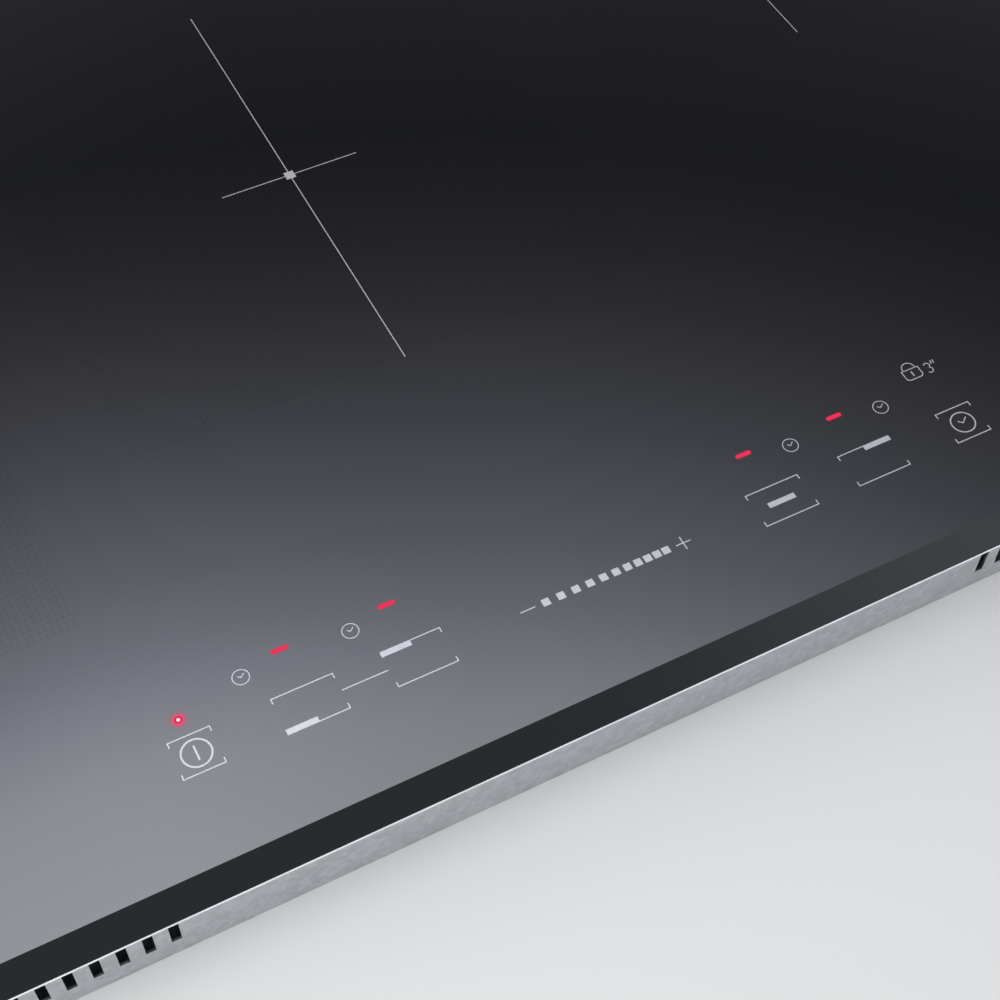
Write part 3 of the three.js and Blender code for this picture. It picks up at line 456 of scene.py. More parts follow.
@dataclass(frozen=True)
class Finish:
    """A surface: how it is named, which slot it takes, and its plain values."""

    name: str
    slot: str
    colour: Colour
    roughness: float = 0.5
    metallic: float = 0.0
    index: float = 1.5

    def wire(self, to: Surface) -> None:
        """Adds what varies over the surface; a plain finish adds nothing."""

    @functools.cached_property
    def material(self) -> bpy.types.Material:
        """The finish's material, made the first time it is asked for.

        Returns:
            The material.
        """
        made = bpy.data.materials.new(self.name)
        made.use_nodes = True
        self.wire(Surface(made.node_tree, self))
        return made

    def shade(self, share: float) -> tuple[float, float, float, float]:
        """The finish's colour made darker or lighter by a factor."""
        return opaque(min(1.0, part * share) for part in self.colour)


@dataclass(frozen=True)
class GlassCeramic(Finish):
    """Polished black glass-ceramic, with the cooking zones' faint dot raster."""

    zones: tuple[Span, ...] = ()
    pitch: float = 2.68 * MM
    dot: float = 1.4 * MM
    dot_depth: float = 0.13
    dot_shade: float = 0.35

    def wire(self, to: Surface) -> None:
        """Takes gloss from the coat where a dot is printed, and adds traces of wiping.

        Args:
            to: The surface.
        """
        covered: Value = 0.0
        for zone in self.zones:
            covered = to.sum("MAXIMUM", covered, *Window.add(to, *zone))
        dots = covered * Raster.add(to, self.pitch, self.dot)[0]
        to.coat(1.0 - dots * self.dot_depth, roughness=0.008)
        to.rough(Wear.add(to, 9.0, 0.5)[1], start=0.0, end=0.01)
        to.tone(dots, 1.0, self.dot_shade)


@dataclass(frozen=True)
class GroundEdge(Finish):
    """Edge of the glass, ground with a fine wheel and left satin."""

    along: Place = (0.02, 0.02, 1.0)

    def wire(self, to: Surface) -> None:
        """Wheel lines along the edge, and the odd tiny chip.

        Args:
            to: The surface.
        """
        lines = to.lines(self.along, 4200.0)
        skin, mottle = Grain.add(to, 2600.0, 70.0)
        to.rough(lines, start=-0.06, end=0.1)
        to.tone(mottle, dark=0.86, light=1.0)
        to.relief(lines + skin * 0.5, depth=0.02 * MM)


@dataclass(frozen=True)
class CeramicPrint(Finish):
    """Enamel ink fired on to the glass."""

    def wire(self, to: Surface) -> None:
        """Screen-print texture and slight unevenness of the ink.

        Args:
            to: The surface.
        """
        skin, mottle = Grain.add(to, 4200.0, 260.0)
        to.tone(mottle, dark=0.93, light=1.04)
        to.rough(skin, start=-0.08, end=0.08, low=0.3, high=0.7)
        to.relief(skin, depth=0.01 * MM)
        to.coat(1.0, roughness=0.05)


@dataclass(frozen=True)
class LampGlow(Finish):
    """Light that comes up through the glass, brightest along its middle."""

    core: Colour = (1.0, 0.2, 0.3)
    rim: Colour = (0.6, 0.004, 0.06)
    power: float = 1.0
    middles: tuple[Point, ...] = ()
    half_length: float = 0.0
    core_radius: float = 1.0 * MM
    glow_radius: float = 1.3 * MM
    halo_radius: float = 0.0
    halo_share: float = 0.3

    def _nearest(self, to: Surface) -> Value:
        """Distance to the nearest lamp's line.

        Args:
            to: The surface.

        Returns:
            The distance.
        """
        parts = to.axes(to.place)
        nearest: Value = 1.0
        for x, y in self.middles:
            beyond = to.sum("MAXIMUM", to.sum("ABSOLUTE", parts[0] - x) - self.half_length, 0.0)
            across = parts[1] - y
            squares = to.sum("POWER", beyond, 2.0) + across * across
            nearest = to.sum("MINIMUM", nearest, to.sum("SQRT", squares))
        return nearest

    def wire(self, to: Surface) -> None:
        """Colour and fade from the distance to the nearest lamp's line.

        Args:
            to: The surface.
        """
        away, glow = self._nearest(to), self.glow_radius
        hot = to.spread(away, self.core_radius * 0.4, self.core_radius, start=1.0, end=0.0)
        rim = to.spread(away, self.core_radius, glow)
        body = to.mix(rim, self.shade(1.0), opaque(self.rim))
        to.set(Emission_Color=to.mix(hot, body, opaque(self.core)), Emission_Strength=self.power)
        to.set(Specular_IOR_Level=0.0, Base_Color=opaque((0.01, 0.01, 0.01)))
        if self.halo_radius:
            lit = to.spread(away, glow * 0.85, glow * 1.1, start=1.0, end=0.0)
            halo = to.spread(away, glow * 0.8, self.halo_radius, start=self.halo_share, end=0.0)
            speckle = to.noise(to.place, 1500.0, detail=2.0)
            cells = to.spread(speckle, low=0.35, high=0.65, start=0.35, end=1.0)
            to.set(Alpha=to.sum("MAXIMUM", lit, halo * cells))


@dataclass(frozen=True)
class ZincSheet(Finish):
    """Hot-dipped galvanised sheet."""

    metallic: float = 0.9
    crystal: float = 330.0

    def wire(self, to: Surface) -> None:
        """Crystals of slightly different tone and gloss, with handling marks on them.

        Args:
            to: The surface.
        """
        flake, rim = Spangle.add(to, self.crystal)
        scuff, smudge = Wear.add(to, 45.0, 0.6)
        tone = to.spread(flake, 0.0, 1.0, start=0.0, end=0.7)
        to.tone(to.sum("ADD", tone, scuff * 0.4, clamp=True), dark=0.86, light=1.14)
        to.set(Roughness=to.rough(flake, start=-0.07, end=0.08) + smudge * 0.07)
        to.relief(rim + scuff * -0.6, depth=0.012 * MM)


@dataclass(frozen=True)
class DrawnMetal(Finish):
    """Rolled, extruded or brushed metal, with its lines along one direction."""

    metallic: float = 1.0
    along: Place = (1.0, 1.0, 1.0)
    lines: float = 1800.0

    def wire(self, to: Surface) -> None:
        """Lines in tone and gloss, and rubbed places.

        Args:
            to: The surface.
        """
        line = to.lines(self.along, self.lines)
        scuff, _ = Wear.add(to, 70.0, 0.5)
        to.tone(to.sum("ADD", line * 0.7, scuff * 0.5, clamp=True), dark=0.82, light=1.1)
        to.rough(line, start=-0.07, end=0.1)
        to.relief(line, depth=0.01 * MM)


@dataclass(frozen=True)
class Moulding(Finish):
    """Injection-moulded plastic, pressed mica or sintered ferrite."""

    grain: float = 1100.0
    depth: float = 0.03 * MM
    contrast: float = 0.12

    def wire(self, to: Surface) -> None:
        """Fine skin, slow mottle and rubbed places.

        Args:
            to: The surface.
        """
        skin, mottle = Grain.add(to, self.grain, 38.0)
        scuff, _ = Wear.add(to, 80.0, 0.45)
        tone = to.sum("ADD", mottle, scuff * 0.8, clamp=True)
        to.tone(tone, dark=1 - self.contrast, light=1 + self.contrast)
        to.set(Roughness=to.rough(skin, start=-0.06, end=0.08, low=0.25, high=0.75) - scuff * 0.12)
        to.relief(skin, self.depth)


@dataclass(frozen=True)
class Laminate(Finish):
    """Circuit board under solder mask, with the tracks showing through it."""

    track: Colour = (0.06, 0.3, 0.1)
    pitch: float = 3.2 * MM
    gap_share: float = 0.09
    run_share: float = 5.0

    def wire(self, to: Surface) -> None:
        """Tracks as a broken pattern of bands, glass weave below them, dust on top.

        Args:
            to: The surface.
        """
        bands = {"Brick Width": self.pitch * self.run_share, "Row Height": self.pitch}
        gap = self.pitch * self.gap_share
        feeds = {"Vector": to.place, "Scale": 1.0, "Mortar Size": gap, **bands}
        shift = {"offset": 0.37, "squash": 0.6, "squash_frequency": 3}
        patch = to.spread(to.noise(to.place, 24.0, detail=1.0), low=0.47, high=0.5)
        tracks = to.out("ShaderNodeTexBrick", feeds, "Fac", **shift) * patch
        copper = to.sum("ADD", tracks, (1.0 - patch) * 0.45, clamp=True)
        weave = to.lines((1.0, 0.1, 1.0), 1600.0)
        ground = to.mix(weave * 0.4, self.shade(1.0), self.shade(1.35))
        to.set(Base_Color=to.mix(copper, ground, opaque(self.track)))
        to.rough(Wear.add(to, 50.0, 0.4)[1], start=0.0, end=0.12)
        to.relief(copper, depth=0.035 * MM)


@dataclass(frozen=True)
class StrandedWire(Finish):
    """Enamelled copper strands twisted into one lead."""

    metallic: float = 0.85
    strands: float = 9.0

    def wire(self, to: Surface) -> None:
        """Strands from the lead's own twist attribute, with painted shade in the grooves between
        them and a painted highlight on their crests.

        Args:
            to: The surface.
        """
        twist = to.out("ShaderNodeAttribute", key="Fac", attribute_name="twist")
        ridge = to.sum("ABSOLUTE", to.sum("SINE", twist * (math.tau * self.strands)))
        dull = to.spread(to.noise(to.place, 160.0), 0.3, 0.7, start=0.75, end=1.0)
        # Colour falls to about a third in the grooves between strands and rises on their crests:
        # painted shade and painted highlight that follow the strands' relief, over a random
        # dulling.
        to.tone(ridge * dull, dark=0.35, light=1.15)
        to.rough(ridge, start=0.15, end=0.0)
        to.relief(ridge, depth=0.12 * MM)


@dataclass(frozen=True)
class FoamStrip(Finish):
    """Closed-cell foam or soft silicone."""

    cells: float = 1300.0
    depth: float = 0.12 * MM

    def wire(self, to: Surface) -> None:
        """Small open pores in a matt skin, with painted shade in the sunk pits and lighter skin
        between them.

        Args:
            to: The surface.
        """
        feeds = {"Vector": to.place, "Scale": self.cells}
        pores = to.out("ShaderNodeTexVoronoi", feeds, "Distance")
        pit = to.spread(pores, low=0.1, high=0.6)
        _, smudge = Wear.add(to, 60.0, 0.5)
        # Darker in the sunk pits and lighter between them: painted shade following the pores'
        # relief, mixed with the real smudges of handling.
        to.tone(to.sum("ADD", pit * 0.7, smudge * 0.3, clamp=True), dark=0.6, light=1.5)
        to.rough(pit, start=0.08, end=0.0)
        to.relief(pit, self.depth)

PRINT = CeramicPrint("ceramic_print", "printed_mark", (0.427, 0.432, 0.455), 0.2)
# The front face of the glass's ground edge takes a near-white colour: a painted highlight standing
# in for the bright line of light along the front edge. The sides and rear keep the dark grey of a
# ground edge.
FRONT_EDGE_PAINTED_HIGHLIGHT = GroundEdge("ground_front_edge_painted_highlight", "glass_ceramic", (0.86, 0.88, 0.92), 0.3)
SIDE_EDGE = GroundEdge("ground_side_edge", "glass_ceramic", (0.05, 0.053, 0.058), 0.32)
ZINC = ZincSheet("galvanised_sheet", "zinc_steel", (0.56, 0.58, 0.6), 0.4)
SPRING = DrawnMetal("spring_strip", "spring_steel", (0.46, 0.46, 0.45), 0.3, along=(1.0, 1.0, 0.04))
WAVE = DrawnMetal("spring_ring", "spring_steel", (0.48, 0.48, 0.47), 0.3, lines=900.0)
FIXING = DrawnMetal("plated_fixing", "screw_steel", (0.66, 0.65, 0.6), 0.28, lines=700.0)
DECK = DrawnMetal("deck_aluminium", "aluminium", (0.78, 0.79, 0.8), 0.33, along=(0.02, 1.0, 1.0))
FINS = DrawnMetal(
    "extruded_aluminium", "aluminium", (0.74, 0.75, 0.76), 0.36, along=(1.0, 0.02, 1.0)
)
MICA = Moulding(
    "mica_sheet", "mica", (0.6, 0.5, 0.34), 0.48, grain=420.0, depth=0.05 * MM, contrast=0.3
)
LITZ = StrandedWire("litz_wire", "copper_litz", (0.72, 0.3, 0.13), 0.3)
ENAMEL = StrandedWire("enamelled_wire", "copper_litz", (0.66, 0.24, 0.1), 0.26, strands=1.0)
FERRITE = Moulding(
    "sintered_ferrite", "ferrite", (0.05, 0.05, 0.055), 0.55, grain=1600.0, contrast=0.25
)
WHITE = Moulding("white_moulding", "white_plastic", (0.72, 0.7, 0.66), 0.46, contrast=0.03)
GREY = Moulding("grey_moulding", "grey_plastic", (0.28, 0.29, 0.3), 0.5)
BLACK = Moulding("black_moulding", "black_plastic", (0.026, 0.026, 0.028), 0.45, contrast=0.3)
BLUE = Moulding("blue_case", "blue_plastic", (0.03, 0.11, 0.42), 0.3, grain=500.0, depth=0.01 * MM)
PACKAGE = Moulding(
    "epoxy_package", "component_package", (0.022, 0.022, 0.024), 0.55, grain=2200.0, contrast=0.25
)
BOARD = Laminate("solder_mask", "circuit_board", (0.015, 0.13, 0.05), 0.34)
FOAM = FoamStrip("closed_cell_foam", "seal_foam", (0.035, 0.035, 0.037), 0.86)
SILICONE = FoamStrip(
    "silicone_bond", "silicone", (0.045, 0.045, 0.047), 0.5, cells=500.0, depth=0.02 * MM
)
TIN = DrawnMetal("tinned_end", "screw_steel", (0.7, 0.7, 0.69), 0.3)
CERAMIC_CHIP = Moulding(
    "chip_ceramic", "component_package", (0.2, 0.15, 0.1), 0.4, grain=3000.0, contrast=0.2
)


# ---------------------------------------------------------------- mesh tools


def new_object(name: str, mesh: bpy.types.Mesh) -> Piece:
    """Links a new object that stands at the origin.

    Args:
        name: Its name.
        mesh: Its mesh.

    Returns:
        The object.
    """
    made = bpy.data.objects.new(name, mesh)
    bpy.context.scene.collection.objects.link(made)
    return made


def from_bmesh(name: str, work: Work, *finishes: Finish) -> Piece:
    """Turns a finished bmesh into an object.

    Args:
        name: The piece's name.
        work: The bmesh, which is freed.
        *finishes: Finishes by the faces' material number.

    Returns:
        The object.
    """
    mesh = bpy.data.meshes.new(name)
    work.to_mesh(mesh)
    work.free()
    for finish in finishes:
        mesh.materials.append(finish.material)
    return new_object(name, mesh)


def outward(work: Work, merge: float = COARSE_MERGE) -> None:
    """Merges doubles and turns every face outwards."""
    bmesh.ops.remove_doubles(work, verts=work.verts, dist=merge)
    bmesh.ops.recalc_face_normals(work, faces=work.faces)


def arc(middle: Point, radius: float, start: float, end: float, steps: int) -> list[Point]:
    """Points on an arc.

    Args:
        middle: Its middle.
        radius: Its radius.
        start: Angle of the first point in degrees.
        end: Angle of the last point in degrees.
        steps: Number of spaces between points.

    Returns:
        The points.
    """
    angles = [math.radians(start + (end - start) * step / steps) for step in range(steps + 1)]
    return [(middle[0] + radius * math.cos(a), middle[1] + radius * math.sin(a)) for a in angles]


def ring(middle: Point, radius: float, count: int) -> list[Point]:
    """Points evenly round a circle."""
    return arc(middle, radius, 0, 360 - 360 / count, count - 1)


def rounded_outline(
    x0: float, x1: float, y0: float, y1: float, radius: float, steps: int
) -> list[Point]:
    """Anticlockwise outline of a rectangle with round corners.

    Args:
        x0: Left side.
        x1: Right side.
        y0: Front side.
        y1: Rear side.
        radius: Radius of the corners.
        steps: Spaces between points in a corner.

    Returns:
        The outline, from the front right corner on.
    """
    left, right, front, rear = x0 + radius, x1 - radius, y0 + radius, y1 - radius
    points: list[Point] = []
    for x, y, turn in ((right, front, -90), (right, rear, 0), (left, rear, 90), (left, front, 180)):
        points += arc((x, y), radius, turn, turn + 90, steps)
    return points


def sides_of(line: Sequence[Point], width: float, closed: bool) -> tuple[list[Point], list[Point]]:
    """Left and right edges of a stroke, mitred at its corners.

    Args:
        line: The stroke's centre line.
        width: The stroke's width.
        closed: Whether the last point joins the first.

    Returns:
        The two edges, point by point.
    """
    count, sharpest = len(line), 0.4
    left, right = [], []
    for number, point in enumerate(line):
        here = Vector(point)
        ways = []
        if closed or number:
            ways.append((here - Vector(line[number - 1])).normalized())
        if closed or number < count - 1:
            ways.append((Vector(line[(number + 1) % count]) - here).normalized())
        middle = (ways[0] + ways[-1]).normalized()
        reach = width / 2 / max(sharpest, middle.dot(ways[-1]))
        across = Vector((-middle.y, middle.x)) * reach
        left.append(tuple(here + across))
        right.append(tuple(here - across))
    return left, right


def add_skin(work: Work, loops: Sequence[list[bmesh.types.BMVert]], closed: bool = False) -> None:
    """Joins each loop of vertices to the next by a band of faces.

    Args:
        work: The bmesh.
        loops: Loops with the same number of vertices.
        closed: Whether the last loop joins the first.
    """
    following = [*loops[1:], loops[0]] if closed else loops[1:]
    for one, two in zip(loops, following):
        for index in range(len(one)):
            after = (index + 1) % len(one)
            work.faces.new((one[index], one[after], two[after], two[index]))


def add_prism(work: Work, outline: Sequence[Point], low: float, high: float) -> None:
    """Adds a closed upright prism.

    Args:
        work: The bmesh.
        outline: Its anticlockwise outline in plan.
        low: Height of its underside.
        high: Height of its top.
    """
    under, over = ([work.verts.new((x, y, z)) for x, y in outline] for z in (low, high))
    work.faces.new(over)
    work.faces.new(under[::-1])
    add_skin(work, [under, over])


def add_ribbon(
    work: Work, line: Sequence[Point], width: float, heights: Point, closed: bool
) -> None:
    """Adds a stroke of one width along a line, as a thin closed band.

    Args:
        work: The bmesh.
        line: The stroke's centre line.
        width: Its width.
        heights: Heights of its underside and top.
        closed: Whether the last point joins the first.
    """
    left, right = sides_of(line, width, closed)
    if not closed:
        add_prism(work, right + left[::-1], *heights)
        return
    low, high = heights
    corners = ((right, high), (left, high), (left, low), (right, low))
    add_skin(
        work, [[work.verts.new((x, y, z)) for x, y in edge] for edge, z in corners], closed=True
    )


def bulge(share: float, power: float) -> float:
    """Bends a cosine or sine so that a round section becomes squarer."""
    return math.copysign(abs(share) ** power, share)


# ------------------------------------------------------------ geometry trees


class Recipe(Graph):
    """A Geometry Nodes tree with named inputs, and how it is turned into a mesh."""

    def __init__(self, name: str) -> None:
        """Starts an empty tree with a geometry input and output.

        Args:
            name: The tree's name.
        """
        super().__init__(bpy.data.node_groups.new(name, "GeometryNodeTree"))
        self.keys: dict[str, str] = {}
        for way in ("INPUT", "OUTPUT"):
            self.tree.interface.new_socket("Geometry", in_out=way, socket_type="NodeSocketGeometry")
        self.given = self.node("NodeGroupInput").outputs

    def ask(self, name: str, kind: str = "Float") -> Num:
        """Adds a named input.

        Args:
            name: The input's name.
            kind: Its type.

        Returns:
            What is given for it, inside the tree.
        """
        made = self.tree.interface.new_socket(name, in_out="INPUT", socket_type=f"NodeSocket{kind}")
        self.keys[name] = made.identifier
        return Num(self, self.given[name])

    def host(self) -> Num:
        """The mesh that the tree starts from."""
        return Num(self, self.given["Geometry"])

    def store(self, geometry: Num, name: str, value: Num) -> Num:
        """Keeps a number on each point under a name.

        Args:
            geometry: What has the points.
            name: The name.
            value: The number.

        Returns:
            The geometry with the number on it.
        """
        feeds = {"Geometry": geometry, "Name": name, "Value": value}
        settings = {"data_type": "FLOAT", "domain": "POINT"}
        return self.out("GeometryNodeStoreNamedAttribute", feeds, **settings)

    def read(self, name: str, kind: str = "FLOAT") -> Num:
        """Reads what was kept on each point under a name."""
        return self.out("GeometryNodeInputNamedAttribute", {"Name": name}, data_type=kind)

    def close(self, geometry: Num) -> "Recipe":
        """Ends the tree in Realize Instances and Set Material.

        Args:
            geometry: What the tree makes.

        Returns:
            The recipe itself.
        """
        material = self.ask("Finish", "Material")
        real = self.out("GeometryNodeRealizeInstances", {"Geometry": geometry})
        dressed = self.out("GeometryNodeSetMaterial", {"Geometry": real, "Material": material})
        self.node("NodeGroupOutput", {"Geometry": dressed})
        return self

    def grow(self, name: str, host: bpy.types.Mesh, finish: Finish, **values: object) -> Piece:
        """Runs the tree on a host mesh and keeps the result as a plain mesh.

        Args:
            name: The piece's name.
            host: Mesh whose points or faces the tree starts from.
            finish: Its finish.
            **values: The tree's inputs, with _ for a space.

        Returns:
            The piece.
        """
        piece = new_object(name, host)
        modifier = piece.modifiers.new("recipe", "NODES")
        modifier.node_group = self.tree
        for key, value in (*values.items(), ("Finish", finish.material)):
            modifier[self.keys[key.replace("_", " ")]] = value
        graph = bpy.context.evaluated_depsgraph_get()
        mesh = bpy.data.meshes.new_from_object(piece.evaluated_get(graph), depsgraph=graph)
        piece.modifiers.clear()
        piece.data = mesh
        mesh.name = name
        return piece


def host_mesh(
    points: Iterable[Sequence[float]], faces: Sequence[tuple[int, ...]] = ()
) -> bpy.types.Mesh:
    """A mesh for a recipe to start from.

    Args:
        points: Its points.
        faces: Its faces, by number of point; none for loose points.

    Returns:
        The mesh.
    """
    mesh = bpy.data.meshes.new("host")
    mesh.from_pydata([tuple(point) for point in points], [], faces)
    return mesh


def facing_points(places: Sequence[Place], ways: Sequence[Way]) -> bpy.types.Mesh:
    """Loose points, each with the way it faces, for a recipe that repeats a part.

    Args:
        places: The points.
        ways: The way each one faces.

    Returns:
        The mesh.
    """
    mesh = host_mesh(places)
    attribute = mesh.attributes.new("facing", "FLOAT_VECTOR", "POINT")
    for item, way in zip(attribute.data, ways):
        item.vector = way.value
    return mesh


class Recipes:
    """The trees that the hob's repeated and swept parts come from."""

    def __init__(self) -> None:
        """Builds each tree once."""
        self.repeat = self._repeat()
        self.slab = self._slab()
        self.spiral = self._sweep("flat_spiral", self._spiral_path)
        self.winding = self._sweep("ring_winding", self._winding_path)
        self.scatter = self._scatter()

    @staticmethod
    def _repeat() -> Recipe:
        """A part on each point, turned the way the point faces and spun by a seeded angle.

        Returns:
            The recipe.
        """
        made = Recipe("repeat_part")
        part = made.out(
            "GeometryNodeObjectInfo", {"Object": made.ask("Part", "Object")}, "Geometry"
        )
        facing = {"Vector": made.read("facing", "FLOAT_VECTOR")}
        align = made.out("FunctionNodeAlignRotationToVector", facing, axis="Z")
        draw = {3: math.tau, "Seed": made.ask("Seed", "Int")}
        angle = made.out("FunctionNodeRandomValue", draw, 1, data_type="FLOAT")
        spin = made.out("FunctionNodeAxisAngleToRotation", {"Axis": Way.UP.value, "Angle": angle})
        both = {"Rotation": align, "Rotate By": spin}
        turn = made.out("FunctionNodeRotateRotation", both, rotation_space="LOCAL")
        feeds = {"Points": made.host(), "Instance": part, "Rotation": turn}
        return made.close(made.out("GeometryNodeInstanceOnPoints", feeds))

    @staticmethod
    def _slab() -> Recipe:
        """A small slab with round corners on each point, standing on it.

        Returns:
            The recipe.
        """
        made = Recipe("rounded_slabs")
        corner, height = made.ask("Corner"), made.ask("Height")
        sides = {"Width": made.ask("Width"), "Height": made.ask("Depth")}
        outline = made.out("GeometryNodeCurvePrimitiveQuadrilateral", sides)
        feeds = {"Curve": outline, "Radius": corner, "Count": 6}
        soft = made.out("GeometryNodeFilletCurve", feeds, mode="POLY")
        flat = made.out("GeometryNodeFillCurve", {"Curve": soft}, mode="NGONS")
        rise = made.out("ShaderNodeCombineXYZ", {"Z": height})
        feeds = {"Mesh": flat, "Offset": rise, "Individual": False}
        tall = made.out("GeometryNodeExtrudeMesh", feeds, "Mesh")
        both = made.node("GeometryNodeJoinGeometry")
        for part in (tall, made.out("GeometryNodeFlipFaces", {"Mesh": flat})):
            made.feed(both.inputs[0], part)
        feeds = {"Geometry": Num(made, both.outputs[0]), "Distance": COARSE_MERGE}
        sewn = made.out("GeometryNodeMergeByDistance", feeds)
        feeds = {"Points": made.host(), "Instance": sewn}
        return made.close(made.out("GeometryNodeInstanceOnPoints", feeds))

    @staticmethod
    def _spiral_path(made: Recipe) -> Num:
        """Flat spiral round a point.

        Args:
            made: The recipe that it is added to.

        Returns:
            The path.
        """
        feeds = {
            "Resolution": made.ask("Steps", "Int"),
            "Rotations": made.ask("Turns"),
            "Start Radius": made.ask("Inner"),
            "End Radius": made.ask("Outer"),
            "Height": 0.0,
        }
        shift = {"Translation": made.ask("Middle", "Vector")}
        line = made.out("GeometryNodeCurveSpiral", feeds)
        return made.out("GeometryNodeTransform", {"Geometry": line, **shift})

    @staticmethod
    def _winding_path(made: Recipe) -> Num:
        """Wire wound round a ring core, turn beside turn.

        Args:
            made: The recipe that it is added to.

        Returns:
            The path.
        """
        steps = {"Resolution": made.ask("Steps", "Int"), "Radius": 1.0}
        line = made.out("GeometryNodeCurvePrimitiveCircle", steps)
        share = made.out("GeometryNodeSplineParameter", key="Factor")
        roll = share * (made.ask("Turns") * math.tau)
        sweep = share * (math.tau - made.ask("Gap"))
        out = made.sum("COSINE", roll) * made.ask("Core radius") + made.ask("Ring radius")
        feeds = {
            "X": out * made.sum("COSINE", sweep),
            "Y": out * made.sum("SINE", sweep),
            "Z": made.sum("SINE", roll) * made.ask("Core half height"),
        }
        place = made.vector(
            "ADD", made.out("ShaderNodeCombineXYZ", feeds), made.ask("Middle", "Vector")
        )
        opened = made.out("GeometryNodeSetSplineCyclic", {"Geometry": line, "Cyclic": False})
        return made.out("GeometryNodeSetPosition", {"Geometry": opened, "Position": place})

    @staticmethod
    def _sweep(name: str, path: Callable[[Recipe], Num]) -> Recipe:
        """A round section drawn along a path, with its twist kept as an attribute.

        Args:
            name: The tree's name.
            path: Makes the path in the tree.

        Returns:
            The recipe.
        """
        made = Recipe(name)
        line, lay = path(made), made.ask("Lay")
        length = made.out("GeometryNodeSplineParameter", key="Length")
        line = made.store(line, "twist_along", length * lay)
        feeds = {"Resolution": made.ask("Sides", "Int"), "Radius": made.ask("Radius")}
        section = made.out("GeometryNodeCurvePrimitiveCircle", feeds)
        around = made.out("GeometryNodeSplineParameter", key="Factor")
        section = made.store(section, "twist_around", around)
        feeds = {"Curve": line, "Profile Curve": section, "Fill Caps": True}
        tube = made.out("GeometryNodeCurveToMesh", feeds)
        tube = made.store(tube, "twist", made.read("twist_along") + made.read("twist_around"))
        return made.close(made.out("GeometryNodeSetShadeSmooth", {"Geometry": tube}))

    @staticmethod
    def _scatter() -> Recipe:
        """Parts strewn over a flat area in quarter turns, with a least distance between them.

        Returns:
            The recipe.
        """
        made = Recipe("scatter_parts")
        seed = made.ask("Seed", "Int")
        feeds = {
            "Mesh": made.host(),
            "Distance Min": made.ask("Clearance"),
            "Density Max": made.ask("Density"),
            "Seed": seed,
        }
        poisson = {"distribute_method": "POISSON"}
        spots = made.out("GeometryNodeDistributePointsOnFaces", feeds, "Points", **poisson)
        draw = {"Seed": seed, 4: 0, 5: 3}
        angle = made.out("FunctionNodeRandomValue", draw, 2, data_type="INT") * (math.pi / 2)
        turn = made.out("FunctionNodeAxisAngleToRotation", {"Axis": Way.UP.value, "Angle": angle})
        part = made.out(
            "GeometryNodeObjectInfo", {"Object": made.ask("Part", "Object")}, "Geometry"
        )
        feeds = {"Points": spots, "Instance": part, "Rotation": turn}
        return made.close(made.out("GeometryNodeInstanceOnPoints", feeds))


# ------------------------------------------------------------- sub-assemblies


@dataclass(frozen=True)
class Head:
    """A domed screw or rivet head with a cross recess."""

    radius: float
    height: float
    recess: float = 0.9 * MM
    around: int = 32
    rings: int = 9
    edge_drop: float = 0.65
    slot_half: float = 0.16
    slot_reach: float = 0.58
    slot_rise: float = 0.45

    def _level(self, x: float, y: float) -> float:
        """Height of the head at a place.

        Args:
            x: Distance to the right of its middle.
            y: Distance behind its middle.

        Returns:
            The height.
        """
        share = min(1.0, math.hypot(x, y) / self.radius)
        half, reach = self.radius * self.slot_half, self.radius * self.slot_reach
        inside = any(abs(a) < half and abs(b) < reach for a, b in ((x, y), (y, x)))
        cut = self.recess * (1 - self.slot_rise * share) if inside else 0.0
        return self.height * (1 - share**4 * self.edge_drop) - cut

    def make(self) -> Piece:
        """Builds one head, its underside on the origin's plane.

        Returns:
            The part.
        """
        work = bmesh.new()
        loops = []
        for number in range(1, self.rings + 1):
            outline = ring((0, 0), self.radius * number / self.rings, self.around)
            loops.append([work.verts.new((x, y, self._level(x, y))) for x, y in outline])
        foot = [work.verts.new((*vertex.co.xy, 0)) for vertex in loops[-1]]
        middle = work.verts.new((0, 0, self._level(0, 0)))
        for one, two in zip(loops[0], [*loops[0][1:], loops[0][0]]):
            work.faces.new((middle, one, two))
        add_skin(work, [*loops, foot])
        work.faces.new(foot[::-1])
        outward(work, FINE_MERGE)
        return from_bmesh("head", work)


@dataclass
class Assembly:
    """A group of pieces; it collects what it makes and dresses its CAD nodes."""

    recipes: Recipes
    made: list[Piece] = field(default_factory=list, init=False)

    def place(self, piece: Piece, finish: Finish, *replaced: str, body: str = CASE) -> Piece:
        """Hands a finished piece to the frame.

        Args:
            piece: The piece.
            finish: Its finish; not used.
            *replaced: CAD nodes that it stands for.
            body: The CAD body that it moves with.

        Returns:
            The same piece.
        """
        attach(piece, body)
        if replaced:
            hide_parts(*replaced)
        self.made.append(piece)
        return piece

    def fasten(
        self, name: str, head: Head, spots: Sequence[tuple[Place, Way]], seed: int, body: str = CASE
    ) -> None:
        """Sets one head on each spot, and makes them one piece.

        Args:
            name: The piece's name.
            head: The head.
            spots: Where each head stands and which way it faces.
            seed: Seed of their turns.
            body: The CAD body that they move with.
        """
        part = head.make()
        host = facing_points(*zip(*spots))
        piece = self.recipes.repeat.grow(name, host, FIXING, Part=part, Seed=seed)
        bpy.data.objects.remove(part)
        self.place(piece, FIXING, body=body)

    @staticmethod
    def dress(finish: Finish, *starts: str) -> None:
        """Gives every CAD node whose name starts with one of these a finish.

        Args:
            finish: The finish.
            *starts: Starts of names.
        """
        for name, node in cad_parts.items():
            if not name.startswith(starts):
                continue
            if not node.material_slots:
                node.data.materials.append(finish.material)
            for slot in node.material_slots:
                slot.material = finish.material

    def build(self) -> None:
        """Makes the assembly's pieces; each assembly has its own."""
        raise NotImplementedError


